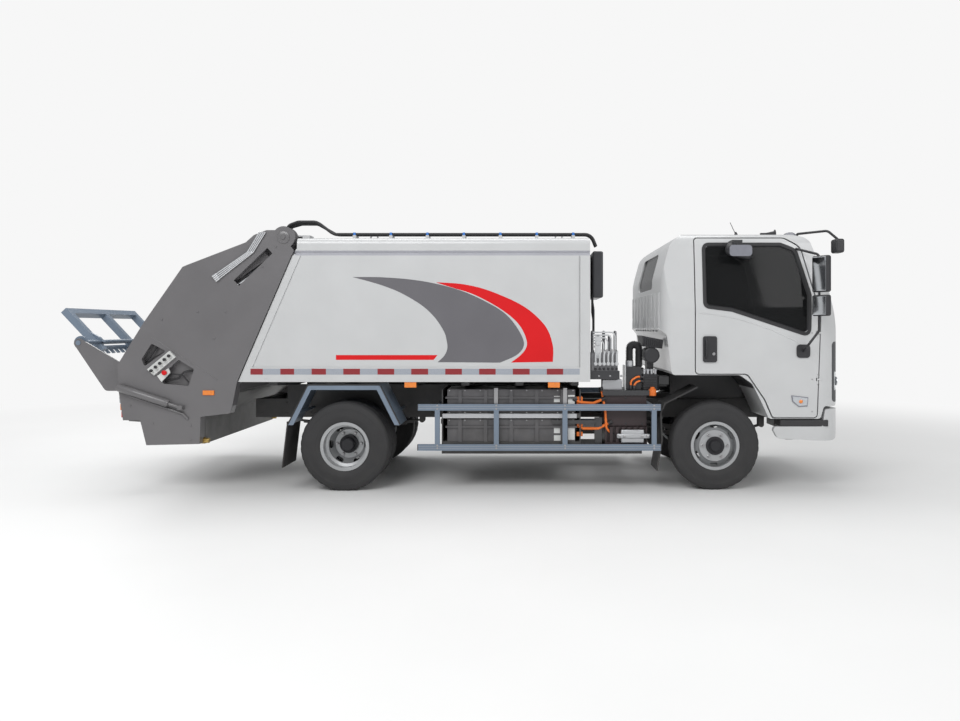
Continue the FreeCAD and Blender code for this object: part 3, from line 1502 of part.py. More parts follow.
def battery_packs():
    """Two ribbed cases, one over the other, on each side of the frame."""
    cases = []
    for side in (-1, 1):
        for low, high in ((battery_upper_low, battery_upper_high), (battery_lower_low, battery_lower_high)):
            y = sorted((side * battery_inner, side * battery_outer))
            case = box(at(battery_rear), at(battery_front), y[0], y[1], low, high)
            pieces = [case]
            seam = low + (high - low) * battery_seam_share
            rim_y = sorted((side * battery_inner, side * (battery_outer + battery_flange)))
            pieces.append(box(at(battery_rear) - battery_flange, at(battery_front) + battery_flange,
                              rim_y[0], rim_y[1], seam, seam + battery_flange))
            pitch = (battery_front - battery_rear) / battery_rib_count
            for rib in range(battery_rib_count):
                x = at(battery_rear) + pitch * (rib + 0.5)
                rib_y = sorted((side * (battery_outer - battery_flange),
                                side * (battery_outer + battery_flange)))
                pieces.append(box(x - battery_flange, x + battery_flange, rib_y[0], rib_y[1], low, high))
            cases.append(fuse(pieces))
    return together(cases)


def battery_rack():
    """The hanging rack on each side: two trays, uprights and the arms bolted to the rail."""
    racks = []
    for side in (-1, 1):
        pieces = []
        inner = side * rail_y
        outer = side * (battery_outer + battery_flange)
        y = sorted((inner, outer))
        for top in (battery_upper_low, battery_lower_low):
            pieces.append(box(at(battery_rear) - rack_bar, at(battery_front) + rack_bar, y[0], y[1],
                              top - rack_tray, top))
        inner_post = sorted((inner, side * (rail_y + rack_bar)))
        for x in (at(battery_rear) - rack_bar, at(battery_front) + rack_bar - rack_plate):
            pieces.append(box(x, x + rack_plate, y[0], y[1], rack_low, battery_upper_high))
        for x in (at(battery_rear) - rack_bar, at(battery_front)):
            pieces.append(box(x, x + rack_bar, inner_post[0], inner_post[1], rack_low, battery_upper_high))
        base = sorted((inner, outer))
        pieces.append(box(at(battery_rear) - rack_bar, at(control_front) - rack_bar, base[0], base[1],
                          rack_low, rack_low + rack_bar))
        racks.append(fuse(pieces))
    return together(racks)


def control_box():
    """The motor controller's case with its lid, and the finned charger under it."""
    y = sorted((-control_inner, -control_outer))
    case = box(at(control_rear), at(control_front), y[0], y[1], charger_high + gap,
               control_high - control_lid)
    lid = box(at(control_rear) - control_lid / 2, at(control_front) + control_lid / 2,
              y[0] - control_lid / 2, y[1], control_high - control_lid, control_high)
    charger_y = sorted((-control_inner, -charger_outer))
    charger = box(at(control_rear), at(control_front), charger_y[0], charger_y[1],
                  rack_low + rack_bar, charger_high)
    fins = []
    pitch = (control_front - control_rear) / charger_fin_count
    for fin in range(charger_fin_count):
        x = at(control_rear) + pitch * (fin + 0.25)
        fins.append(box(x, x + pitch / 2, charger_y[0] - overrun, charger_y[0] + charger_fin_depth,
                        rack_low + 2 * rack_bar, charger_high + overrun))
    post = box(at(control_rear), at(control_front), -control_inner, -rail_y, charger_high + gap,
               charger_high + gap + rack_bar)
    neck = box(at(control_rear) + rack_bar, at(control_front) - rack_bar, y[0] + rack_bar, y[1] - rack_bar,
               charger_high - overrun, charger_high + gap + overrun)
    return fuse([case, lid, charger.cut(fins), post, neck])


def side_guards():
    """A two-rail guard on each side with posts, held by arms from the frame."""
    guards = []
    for side in (-1, 1):
        y = sorted((side * (guard_outer - guard_bar_width), side * guard_outer))
        pieces = []
        for low in (guard_upper, guard_lower):
            pieces.append(box(at(guard_rear), at(guard_front), y[0], y[1], low, low + guard_bar_height))
        for station in guard_post_stations:
            x = at(station)
            pieces.append(box(x, x + guard_post_width, y[0], y[1], guard_lower,
                              guard_upper + guard_bar_height))
        for station in guard_arm_stations:
            arm_y = sorted((side * rail_y, side * (guard_outer - guard_bar_width / 2)))
            x = at(station)
            pieces.append(box(x, x + guard_post_width, arm_y[0], arm_y[1], guard_upper - guard_arm_drop,
                              guard_upper + guard_bar_height - guard_arm_drop))
        guards.append(fuse(pieces))
    return together(guards)


def rear_fenders():
    """A folded arch over each pair of rear wheels, with its stay tubes."""
    arches = []
    top_half = fender_top_half
    for side in (-1, 1):
        y = sorted((side * fender_inner, side * fender_outer))
        outer = [(-fender_half_width, fender_low), (-top_half, fender_top), (top_half, fender_top),
                 (fender_half_width, fender_low)]
        sheet = fender_sheet
        inner = [(fender_half_width - sheet, fender_low), (top_half - sheet * 0.6, fender_top - sheet),
                 (sheet * 0.6 - top_half, fender_top - sheet), (sheet - fender_half_width, fender_low)]
        outline = [(rear_axle_x + x, z) for x, z in outer + inner]
        pieces = [prism_y(outline, y[0], y[1])]
        lip = sorted((side * fender_outer, side * (fender_outer - sheet)))
        skirt = [(fender_half_width - 4 * sheet, fender_low),
                 (top_half - sheet * 2.4, fender_top - 4 * sheet),
                 (sheet * 2.4 - top_half, fender_top - 4 * sheet),
                 (4 * sheet - fender_half_width, fender_low)]
        flange = [(rear_axle_x + x, z) for x, z in outer + skirt]
        pieces.append(prism_y(flange, lip[0], lip[1]))
        for way in (-1, 1):
            x = rear_axle_x + way * fender_stay_x
            pieces.append(rod(point(x, side * rail_y, fender_stay_z),
                              point(x, side * fender_outer - side * sheet,
                                                                          fender_stay_z), fender_stay_radius))
        arches.append(fuse(pieces))
    return together(arches)


def mudflaps():
    """Rubber flaps hung behind the rear wheels."""
    flaps = []
    for side in (-1, 1):
        y = sorted((side * fender_inner, side * fender_outer))
        x = rear_axle_x - fender_half_width
        lean = mudflap_lean
        outline = [(x - mudflap_thickness, fender_low + mudflap_lap), (x, fender_low + mudflap_lap),
                   (x, fender_low), (x - lean, mudflap_low), (x - lean - mudflap_thickness, mudflap_low),
                   (x - mudflap_thickness, fender_low)]
        flaps.append(prism_y(outline, y[0], y[1]))
    return together(flaps)


def cab_side_outline():
    length = cab_front - cab_back
    height = cab_roof - cab_low
    points = [(at(cab_back) + x * length, cab_low + z * height) for x, z in cab_side_shares]
    return points, [share * height for share in cab_side_round_shares]


def shrunk(wire, inset):
    if inset == 0:
        return Part.Face(wire)
    return Part.Face(wire.makeOffset2D(-inset, 0, False, False, False))


def cab_side_prism(inset, half):
    points, rounds = cab_side_outline()
    wire = rounded_wire([point(x, -half, z) for x, z in points], rounds)
    return shrunk(wire, inset).extrude(point(0, 2 * half, 0))


def cab_end_prism(inset, x0, x1):
    """The cab seen from the front: upright sides, a lean above the belt and a crowned roof."""
    half = cab_half_width
    roof_z = cab_roof - cab_roof_drop
    right = [(half, cab_low - cab_wall - overrun), (half, cab_lean_z), (half - cab_lean, roof_z)]
    rounds = [0.0, cab_lean_round, cab_roof_round]
    outline = right + [(0.0, cab_roof - overrun)] + [(-y, z) for y, z in reversed(right)]
    radii = rounds + [cab_half_width * 4] + rounds[::-1]
    wire = rounded_wire([point(x0, y, z) for y, z in outline], radii)
    return shrunk(wire, inset).extrude(point(x1 - x0, 0, 0))


def cab_plan_prism(inset, z0, z1):
    """The cab seen from above: rounded rear corners and a bowed front."""
    half = cab_half_width + running_side_gap
    back = at(cab_back) - overrun
    front = at(cab_front) + overrun
    outline = [(back, -half), (front - cab_plan_bow, -half), (front, -half / 2),
               (front, half / 2), (front - cab_plan_bow, half), (back, half)]
    bow = cab_half_width * 2
    radii = [cab_corner, cab_front_corner, bow, bow, cab_front_corner, cab_corner]
    wire = rounded_wire([point(x, y, z0) for x, y in outline], radii)
    return shrunk(wire, inset).extrude(point(0, 0, z1 - z0))


def cab_solid(inset):
    """The cab's outer form moved in by an inset, as one solid."""
    side = cab_side_prism(inset, cab_half_width + cab_wall)
    ends = cab_end_prism(inset, at(cab_back) - cab_wall, at(cab_front) + cab_wall)
    plan = cab_plan_prism(inset, cab_low - cab_wall, cab_roof + cab_wall)
    return side.common(plan).common(ends)


def cab_tunnel(wall):
    """The space for the frame rails and the tilt hinge under the cab floor."""
    return box(at(cab_back) - overrun, at(tunnel_front) + wall, -cab_tunnel_half - wall,
               cab_tunnel_half + wall,
               cab_low - overrun - wall, cab_tunnel_top + wall)


def door_outline(grow):
    """The door's outline in (x, z), grown by a gap."""
    return [(at(door_back) - grow, door_arch_z - grow), (at(door_back) - grow, door_top + grow),
            (at(door_front_top) + grow, door_top + grow), (at(door_front_high) + grow, door_high_z + grow),
            (at(door_front_belt) + grow, door_belt_z + grow),
            (at(door_front_low) + grow, door_low - grow), (at(door_arch_x) - grow, door_low - grow),
            (at(door_arch_x) - door_arch_slope - grow, door_arch_mid_z - grow),
            (at(door_arch_end) - grow, door_arch_z - grow)]


def door_rounds(grow):
    return [door_round + grow, door_round + grow, door_round * 2 + grow, door_round * 4 + grow,
            door_round * 4 + grow, door_round + grow, door_round, door_round * 4, door_round * 2]


def side_skin(x0, x1, inset, depth):
    """A slab that follows the cab's sides, from an inset to a depth."""
    return cab_end_prism(inset, x0, x1).cut(cab_end_prism(depth, x0 - overrun, x1 + overrun))


def door_prism(side, grow):
    y = sorted((side * (cab_half_width - door_reach - grow), side * (cab_half_width + overrun)))
    return prism_y(door_outline(grow), y[0], y[1], door_rounds(grow))


def hinge_column(side, z, radius, reach):
    """An upright cylinder on a door's hinge line, centred on a height."""
    low = point(at(door_hinge_x), side * door_hinge_y, z - reach)
    return rod(low, low + upwards * (2 * reach), radius)


def hinge_wells(side):
    return [hinge_column(side, z, door_eye_radius + gap, door_eye_reach + gap) for z in door_hinge_heights]


def hinge_pins(side):
    """The cab's half of the door hinges: an arm from the pillar with an upright pin."""
    y = side * door_hinge_y
    x = at(door_hinge_x)
    pieces = []
    for z in door_hinge_heights:
        arm = box(x, x + door_arm_length, y - door_pin_radius, y + door_pin_radius, z - door_eye_radius,
                  z + door_eye_radius)
        boss = hinge_column(side, z, door_pin_radius * 1.6, door_eye_radius)
        pin = hinge_column(side, z, door_pin_radius, door_eye_reach)
        pieces += [arm, boss, pin]
    return pieces


def with_hinge_eyes(panel, side):
    """A door panel with two bored eyes for each hinge pin, notched round the cab's arm."""
    eyes = [hinge_column(side, z, door_eye_radius, door_eye_reach) for z in door_hinge_heights]
    y = side * door_hinge_y
    x = at(door_hinge_x)
    notch = door_eye_radius + gap
    cutters = []
    for z in door_hinge_heights:
        cutters.append(box(x - notch, x + door_arm_length, y - door_arm_length, y + door_arm_length,
                           z - notch, z + notch))
        cutters.append(hinge_column(side, z, door_pin_radius + running_clearance, door_eye_reach + overrun))
    return fuse([panel] + eyes).cut(cutters)


def window_outline(shrink):
    return [(at(window_back) + shrink, window_top - shrink),
            (at(window_front_top) - shrink, window_top - shrink),
            (at(window_front_high) - shrink, window_high - shrink),
            (at(window_front_low) - shrink, window_mid),
            (at(window_front_end) - shrink, window_low + shrink),
            (at(window_dip) - shrink, window_sill + shrink),
            (at(window_back) + shrink, window_sill + window_rise + shrink)]


def window_rounds():
    return [window_round, window_round, window_round * 2, window_round * 2, window_round, window_round * 3,
            window_round]


def cab_shell():
    """The hollow cab body with its door openings, windscreen, rear window, grille and lamp seats."""
    outer = cab_solid(0).cut(cab_tunnel(0))
    inner = cab_solid(cab_wall).cut(cab_tunnel(cab_wall))
    shell = outer.cut(inner)
    reach = (at(cab_back) - overrun, at(cab_front) + overrun)
    skin = side_skin(reach[0], reach[1], -overrun, cab_wall + gap)
    cutters = [door_prism(side, door_gap).common(skin) for side in (-1, 1)] + hinge_wells(-1) + hinge_wells(1)
    wide = windscreen_cutter(0.0)
    rear = rear_window_cutter(0.0)
    shell = shell.cut(cutters + [wide, rear])
    front_skin = cab_solid(0).cut(cab_solid(grille_depth + glass_clearance))
    shell = shell.cut(front_skin.common(grille_prism(0.0)))
    lugs = [tilt_lug(side) for side in (-1, 1)] + hinge_pins(-1) + hinge_pins(1)
    return fuse([shell] + lugs + rear_ribs())


def windscreen_cutter(shrink):
    outline = [(-windscreen_low_half + shrink, windscreen_low + shrink),
               (windscreen_low_half - shrink, windscreen_low + shrink),
               (windscreen_high_half - shrink, windscreen_high - shrink),
               (-windscreen_high_half + shrink, windscreen_high - shrink)]
    return prism_x(outline, at(windscreen_back), at(cab_front) + overrun, [window_round * 1.5] * len(outline))


def rear_window_cutter(shrink):
    half = rear_window_half - shrink
    outline = [(-half, rear_window_low + shrink), (half, rear_window_low + shrink),
               (half, rear_window_high - shrink), (-half, rear_window_high - shrink)]
    return prism_x(outline, at(cab_back) - overrun, at(rear_window_front),
                   [window_round * 1.5] * len(outline))


def grille_prism(shrink):
    half = grille_half - shrink
    outline = [(-half, grille_low + shrink), (half, grille_low + shrink), (half, grille_high - shrink),
               (-half, grille_high - shrink)]
    return prism_x(outline, at(grille_back), at(cab_front) + overrun, [window_round] * len(outline))


def lamp_prism(side, shrink):
    near = side * (lamp_inner + shrink)
    far = side * (lamp_outer - shrink)
    outline = [(near, lamp_low + shrink + lamp_rise), (far, lamp_low + shrink), (far, lamp_high - shrink),
               (near, lamp_high - shrink - lamp_rise)]
    return prism_x(outline, at(grille_back) - overrun, at(cab_front) + 2 * overrun)


def cab_glass(cutter):
    """A pane that follows the cab's skin inside an opening."""
    return cab_solid(glass_inset).cut(cab_solid(glass_inset + glass_thickness)).common(cutter)


def grille_panel():
    """The dark front panel with its slots, round the headlamps."""
    slab = cab_solid(0).cut(cab_solid(grille_depth)).common(grille_prism(glass_clearance))
    cutters = [lamp_prism(side, 0.0) for side in (-1, 1)]
    pitch = (grille_slot_high - grille_slot_low) / grille_slot_count
    for slot in range(grille_slot_count):
        low = grille_slot_low + pitch * (slot + 0.25)
        cutters.append(box(at(grille_back), at(cab_front) + overrun, -grille_slot_half, grille_slot_half,
                           low, low + pitch / 2))
    return slab.cut(cutters)


def headlamps():
    slab = cab_solid(0).cut(cab_solid(grille_depth)).common(grille_prism(glass_clearance))
    return together([slab.common(lamp_prism(side, glass_clearance)) for side in (-1, 1)])


def tilt_lug(side):
    y = sorted((side * (tilt_lug_y - tilt_lug_width / 2), side * (tilt_lug_y + tilt_lug_width / 2)))
    half = tilt_pin_radius * 2
    arm = box(at(tilt_pin_x) - half, at(tilt_pin_x) + half, y[0], y[1], tilt_pin_z, cab_tunnel_top + overrun)
    nose = Part.makeCylinder(half, y[1] - y[0], point(at(tilt_pin_x), y[0], tilt_pin_z), leftwards)
    bore = Part.makeCylinder(tilt_pin_radius + running_clearance, tilt_lug_width + 2 * overrun,
                             point(at(tilt_pin_x), y[0] - overrun, tilt_pin_z), leftwards)
    return fuse([arm, nose]).cut(bore)


def rear_ribs():
    """The pressed ribs low on the cab's rear wall."""
    ribs = []
    pitch = 2 * rear_rib_reach / rear_rib_count
    for rib in range(rear_rib_count):
        y = -rear_rib_reach + pitch * (rib + 0.25)
        ribs.append(box(at(cab_back) - rear_rib_proud, at(cab_back) + cab_wall / 2, y, y + pitch / 2,
                        rear_rib_low, rear_rib_high))
    return ribs


def door(side):
    """A door as thick as the whole side wall, with its window cut and a raised handle."""
    reach = (at(door_back) - overrun, at(cab_front))
    skin = side_skin(reach[0], reach[1], 0, cab_wall)
    plan = cab_plan_prism(0, cab_low - overrun, cab_roof + overrun)
    panel = door_prism(side, 0).common(skin).common(plan)
    y = sorted((side * (cab_half_width - door_reach), side * (cab_half_width + overrun)))
    panel = panel.cut(prism_y(window_outline(0.0), y[0], y[1], window_rounds()))
    return with_hinge_eyes(panel, side)


def door_glass(side):
    reach = (at(door_back) - overrun, at(cab_front))
    slab = side_skin(reach[0], reach[1], glass_inset, glass_inset + glass_thickness)
    y = sorted((side * (cab_half_width - door_reach), side * (cab_half_width + overrun)))
    pane = prism_y(window_outline(glass_clearance), y[0], y[1], window_rounds())
    return slab.common(pane)


def door_fittings(side):
    """The door's outer handle, and two mirror heads on a tube at its front edge."""
    skin_y = side * cab_half_width
    handle_y = sorted((skin_y, skin_y + side * handle_proud))
    handle = prism_y([(at(handle_back), handle_low), (at(handle_front), handle_low),
                      (at(handle_front), handle_high), (at(handle_back), handle_high)],
                     handle_y[0], handle_y[1], [handle_round] * 4)
    tube_y = skin_y + side * mirror_stand_off
    x = at(mirror_x)
    foot_x = at(mirror_foot_x)
    route = [point(foot_x, skin_y + side * mirror_foot_plate / 2, mirror_foot_low),
             point(foot_x, tube_y, mirror_foot_low + mirror_tube_step), point(x, tube_y, mirror_low_z),
             point(x, tube_y, mirror_high_z), point(at(mirror_top_x), side * mirror_top_y, mirror_top_z)]
    pieces = [pipe(route, mirror_tube_radius, mirror_tube_radius * 4)]
    for low, high in ((mirror_main_low, mirror_main_high), (mirror_small_low, mirror_small_high)):
        head = box(-mirror_depth / 2, mirror_depth / 2, -mirror_width * mirror_in_share,
                   mirror_width * (1 - mirror_in_share), low, high)
        head = head.makeFillet(mirror_depth * 0.3, head.Edges)
        if side < 0:
            head = mirrored(head)
        head.rotate(point(0, 0, 0), upwards, -side * mirror_turn)
        head.translate(point(x, tube_y, 0))
        pieces.append(head)
    plate_y = sorted((skin_y, skin_y + side * mirror_foot_plate))
    plate = prism_y([(foot_x - mirror_foot_half, mirror_foot_low - mirror_foot_half),
                     (foot_x + mirror_foot_half, mirror_foot_low - mirror_foot_half),
                     (foot_x + mirror_foot_half, mirror_foot_low + mirror_foot_half),
                     (foot_x - mirror_foot_half, mirror_foot_low + mirror_foot_half)],
                    plate_y[0], plate_y[1], [mirror_foot_half / 2] * 4)
    mirrors = [fuse(pieces + [plate]).cut(door(side))]
    if side < 0:
        mirrors.append(kerb_mirror().cut(door(side)))
    return together(mirrors + [handle])


def kerb_mirror():
    """The mirror over the right door window: a bent arm from the door's top edge and a round-edged head."""
    root = -(cab_half_width - cab_lean)
    out = -kerb_mirror_y
    rear = at(kerb_arm_rear)
    front = at(kerb_arm_front)
    arm = box(rear, front, out - kerb_arm_plate / 2, root, kerb_arm_low, kerb_arm_high)
    drop = box(rear, front, out - kerb_arm_plate / 2, out + kerb_arm_plate / 2,
               kerb_arm_low - kerb_arm_drop, kerb_arm_high)
    head = box(-kerb_mirror_length / 2, kerb_mirror_length / 2, -kerb_mirror_width / 2,
               kerb_mirror_width / 2, -kerb_mirror_height / 2, kerb_mirror_height / 2)
    head = head.makeFillet(kerb_mirror_round, head.Edges)
    head.rotate(point(0, 0, 0), forwards, kerb_mirror_tilt)
    head.rotate(point(0, 0, 0), leftwards, kerb_mirror_pitch)
    head.translate(point(at(kerb_mirror_x), out, kerb_mirror_z))
    return fuse([arm, drop, head])


def front_bumper():
    """The wrap-round bumper with its side steps, open behind, and a slot for the tow eye."""
    face = at(cab_front)
    outline = [(at(step_rear), step_top), (at(step_rear) + bumper_round, bumper_low + bumper_round / 3),
               (at(bumper_turn), bumper_low), (face - bumper_round, bumper_low),
               (face, bumper_mid), (face, bumper_high - bumper_round / 2),
               (face - bumper_round / 3, bumper_high), (at(bumper_turn), bumper_high),
               (at(bumper_turn) - bumper_round / 2, step_top)]
    rounds = [bumper_round / 2, bumper_round, bumper_round / 2, bumper_round, bumper_round, bumper_round / 3,
              bumper_round / 3, bumper_round / 4, bumper_round / 4]
    half = cab_half_width + overrun
    band = prism_y(outline, -half, half, rounds)
    skin = cab_plan_prism(0, bumper_low - overrun, bumper_high + overrun)
    hollow = cab_plan_prism(bumper_wall, bumper_low - 2 * overrun, bumper_high + 2 * overrun)
    slot = box(at(bumper_turn), at(cab_front) + overrun, -tow_eye_width, tow_eye_width,
               tow_slot_low, tow_slot_high)
    front = band.common(skin).cut([hollow, slot])
    arms = []
    for side in (-1, 1):
        y = sorted((side * (rail_y - rail_flange), side * rail_y))
        arms.append(box(at(rail_front), face - bumper_wall + overrun, y[0], y[1],
                        rail_bottom + bumper_arm_inset, rail_bottom + bumper_arm_inset + bumper_arm_height))
        arm_y = sorted((side * rail_y, side * (cab_half_width - bumper_wall + overrun)))
        arms.append(box(at(step_arm_x), at(step_arm_x) + bumper_arm_height, arm_y[0], arm_y[1],
                        rail_bottom - bumper_arm_height, rail_bottom))
        drop_y = sorted((side * (cab_half_width - bumper_wall + overrun),
                         side * (cab_half_width - bumper_wall - bumper_arm_height)))
        arms.append(box(at(step_arm_x), at(step_arm_x) + bumper_arm_height, drop_y[0], drop_y[1],
                        bumper_low + overrun, rail_bottom))
        rail_foot = sorted((side * rail_y, side * (rail_y + overrun)))
        arms.append(box(at(step_arm_x), at(step_arm_x) + bumper_arm_height, rail_foot[0], rail_foot[1],
                        rail_bottom - bumper_arm_height, rail_bottom + bumper_arm_height))
    return fuse([front] + arms)


def seats():
    """Two seats: cushions and backs with rounded edges on a floor plinth."""
    pieces = []
    for y in (-seat_y, seat_y):
        base = box(at(seat_rear), at(seat_rear) + seat_depth, y - seat_width / 2, y + seat_width / 2,
                   cab_floor_z, cab_floor_z + seat_plinth)
        cushion = box(at(seat_rear), at(seat_rear) + seat_depth, y - seat_width / 2, y + seat_width / 2,
                      cab_floor_z + seat_plinth, cab_floor_z + seat_plinth + seat_cushion)
        back_line = [(at(seat_rear), cab_floor_z + seat_plinth + seat_cushion / 2),
                     (at(seat_rear) + seat_cushion, cab_floor_z + seat_plinth + seat_cushion / 2),
                     (at(seat_rear) + seat_cushion - seat_lean, cab_floor_z + seat_plinth + seat_back),
                     (at(seat_rear) - seat_lean, cab_floor_z + seat_plinth + seat_back)]
        back = prism_y(back_line, y - seat_width / 2, y + seat_width / 2, [seat_round] * 4)
        pieces.append(fuse([base, cushion, back]))
    return together(pieces)


def dashboard():
    """The dashboard across the cab on its front leg, with the steering column."""
    half = cab_half_width - cab_wall - dash_side_gap
    outline = [(at(dash_rear), dash_low), (at(dash_front), dash_low), (at(dash_front), dash_high),
               (at(dash_rear) + dash_brow, dash_high + dash_brow / 3),
               (at(dash_rear), dash_high - dash_brow / 2)]
    panel = prism_y(outline, -half, half, [0, 0, dash_brow / 2, dash_brow / 2, dash_brow / 3])
    leg = box(at(dash_front) - dash_brow, at(cab_front), -dash_leg_half, dash_leg_half,
              dash_leg_low, dash_low + dash_brow / 4)
    leg = leg.common(cab_solid(cab_wall))
    centre = wheel_centre()
    column = rod(centre, centre + column_way() * column_length, column_radius)
    return fuse([panel, leg, column])


def column_way():
    lean = math.radians(column_lean)
    return point(math.sin(lean), 0, -math.cos(lean))


def wheel_centre():
    return point(at(steering_x), seat_y, steering_z)


def steering_wheel():
    """The steering wheel: rim, hub and three spokes."""
    centre = wheel_centre()
    way = column_way()
    rim = Part.makeTorus(steering_radius, steering_rim, centre, way)
    hub = Part.makeCylinder(column_radius * 1.5, column_top, centre - way * column_top, way)
    pieces = [rim, hub]
    across = leftwards.cross(way)
    for turn in (0.0, 120.0, 240.0):
        angle = math.radians(turn)
        spoke = leftwards * math.sin(angle) + across * math.cos(angle)
        pieces.append(rod(centre - way * column_top / 2, centre + spoke * steering_radius,
                          steering_rim * 0.7))
    return fuse(pieces)


def look_down_mirror():
    """The front mirror on a curved arm from the cab's right roof corner."""
    inner = -roof_mirror_foot_y
    outer = -roof_mirror_out
    route = [point(at(roof_mirror_foot), inner, roof_mirror_foot_z),
             point(at(roof_mirror_foot), inner, roof_mirror_top),
             point(at(roof_mirror_bend), outer, roof_mirror_top),
             point(at(roof_mirror_head), outer, roof_mirror_head_z)]
    arm = pipe(route, mirror_tube_radius, mirror_tube_radius * 4)
    size = roof_mirror_size
    head = box(at(roof_mirror_head) - size / 3, at(roof_mirror_head) + size / 3, outer - size / 2,
               outer + size / 2,
               roof_mirror_head_z - size, roof_mirror_head_z)
    head = head.makeFillet(size / 6, head.Edges)
    return fuse([arm, head])


def hydraulic_tank():
    """The tall black cooler and tank on the load body's front, with its brackets."""
    y = -tank_y
    rear = at(body_front)
    case = box(rear + tank_stand_off, rear + tank_stand_off + tank_depth, y - tank_width / 2,
               y + tank_width / 2,
               tank_low, tank_high)
    case = case.makeFillet(tank_round, case.Edges)
    pieces = [case]
    for share in (0.2, 0.8):
        z = tank_low + (tank_high - tank_low) * share
        pieces.append(box(rear, rear + tank_stand_off + tank_round, y - tank_bracket_half,
                          y + tank_bracket_half,
                          z, z + tank_bracket))
    return fuse(pieces)


def valve_block():
    """The valve manifold at the body's front right corner with its row of bent pipes."""
    rear = at(body_front)
    y = -valve_y
    plate = box(rear, rear + valve_depth, y - valve_width / 2, y + valve_width / 2, valve_plate_low,
                valve_plate_low + valve_plate)
    block = box(rear + valve_inset, rear + valve_depth - valve_inset, y - valve_width / 2 + valve_inset,
                y + valve_width / 2 - valve_inset, valve_plate_low + valve_plate, valve_block_top)
    pieces = [plate, block]
    pitch = (valve_depth - 4 * valve_inset) / (valve_pipe_count - 1)
    for index in range(valve_pipe_count):
        x = rear + 2 * valve_inset + pitch * index
        top = valve_pipe_top - valve_pipe_step * (index % 2)
        route = [point(x, y + valve_width / 4, valve_block_top - valve_inset),
                 point(x, y + valve_width / 4, top),
                 point(x, y - valve_width / 4, top),
                 point(x, y - valve_width / 4, valve_block_top - valve_inset)]
        pieces.append(pipe(route, valve_pipe_radius, valve_pipe_radius * 2.2))
        nut = Part.makeCylinder(valve_pipe_radius * 1.7, valve_inset * 1.5,
                                point(x, y - valve_width / 4, valve_block_top))
        pieces.append(nut)
    return fuse(pieces)


def roof_hoses():
    """The bundle of hydraulic hoses along the roof's right edge, arched over the hinge."""
    hoses = []
    for index in range(hose_count):
        y = -(hose_y - hose_pitch * index)
        top = hose_arch_top - hose_stagger * (index % 2)
        rise = top - hose_run_z
        shelf = hose_run_z - hose_radius
        route = [point(at(hose_rear), y, shelf), point(at(hose_rear), y, top - rise / 3),
                 point(at(hose_arch_x) - rise, y, top), point(at(hose_arch_x) + rise / 2, y, top),
                 point(at(hose_settle) - rise * 1.6, y, hose_run_z), point(at(hose_settle), y, hose_run_z),
                 point(at(hose_front), y, hose_run_z),
                 point(at(hose_front) + hose_turn / 2, y, hose_run_z - hose_drop)]
        hoses.append(pipe(route, hose_radius, hose_turn))
    return together(hoses)


def tailgate_pipes():
    """The row of bent pipes over the tailgate's right side, each in a fitting at its low end."""
    pieces = []
    y = -(tailgate_half_width + pipe_seat_gap + fitting_radius)
    for index in range(pipe_count):
        step = pipe_pitch * index
        low = point(at(pipe_low_x) - step * 0.6, y, pipe_low_z + step * 0.8)
        bend = point(at(pipe_bend_x) - step, y, pipe_bend_z)
        top = point(at(pipe_top_x) - step, y, pipe_top_z)
        run = pipe([top, bend, low], pipe_radius, pipe_radius * 5)
        way = (bend - low) / (bend - low).Length
        fitting = rod(low - way * fitting_length / 2, low + way * fitting_length / 2, fitting_radius)
        pieces.append(fuse([run, fitting]))
    return together(pieces)


def drive_motor():
    """The drive motor hung between the rails, one plain drum."""
    x = at(motor_station)
    z = rail_bottom - motor_drop
    drum = Part.makeCylinder(motor_radius, motor_length, point(x, 0, z), forwards)
    mount = box(x + motor_length / 3, x + motor_length * 2 / 3, -(rail_y - rail_flange), rail_y - rail_flange,
                rail_bottom - rack_bar * 0, rail_bottom + rack_bar)
    ears = box(x + motor_length / 3, x + motor_length * 2 / 3, -(rail_y - rail_wall), rail_y - rail_wall,
               rail_bottom + rail_wall, rail_bottom + rail_wall + rack_bar)
    return fuse([drum, ears])


def mudguards():
    """Dark splash guards behind the front wheels, on their stays."""
    guards = []
    for side in (-1, 1):
        y = sorted((side * mudguard_inner, side * mudguard_outer))
        outline = [(at(x), z) for x, z in guard_sheet_points]
        back = [(x - mudguard_sheet, z - mudguard_sheet / 2) for x, z in outline]
        back[0] = (outline[0][0] - mudguard_sheet / 2, outline[0][1] + mudguard_sheet)
        back[1] = (outline[1][0] - mudguard_sheet, outline[1][1] + mudguard_sheet / 2)
        back[-1] = (outline[-1][0] - mudguard_sheet, outline[-1][1])
        sheet = prism_y(outline + back[::-1], y[0], y[1])
        x = outline[2][0]
        stay = rod(point(x, side * rail_y, mudguard_stay_z),
                   point(x, side * (mudguard_outer - mudguard_sheet), mudguard_stay_z), fender_stay_radius)
        guards.append(fuse([sheet, stay]))
    return together(guards)


def side_markers():
    """Amber side lamps under the body sill."""
    lamps = []
    for side in (-1, 1):
        for station in marker_stations:
            y = sorted((side * marker_inner, side * marker_outer))
            lamps.append(box(at(station), at(station) + marker_size, y[0], y[1], body_floor - marker_height,
                             body_floor))
    return together(lamps)


def control_panel():
    """The operator's valve panel on the tailgate's right side, with its row of levers."""
    outline = [(at(x), z) for x, z in panel_points]
    skin = -tailgate_half_width
    pieces = [prism_y(outline, skin - panel_proud, skin)]
    for index in range(panel_knob_count):
        share = (index + 0.5) / panel_knob_count
        top = [a * (1 - share) + b * share for a, b in zip(outline[0], outline[1])]
        low = [a * (1 - share) + b * share for a, b in zip(outline[3], outline[2])]
        x, z = ((a + b) / 2 for a, b in zip(top, low))
        pieces.append(rod(point(x, skin - panel_proud + overrun, z),
                          point(x, skin - panel_proud - panel_knob, z),
                          panel_knob / 2))
    return fuse(pieces)


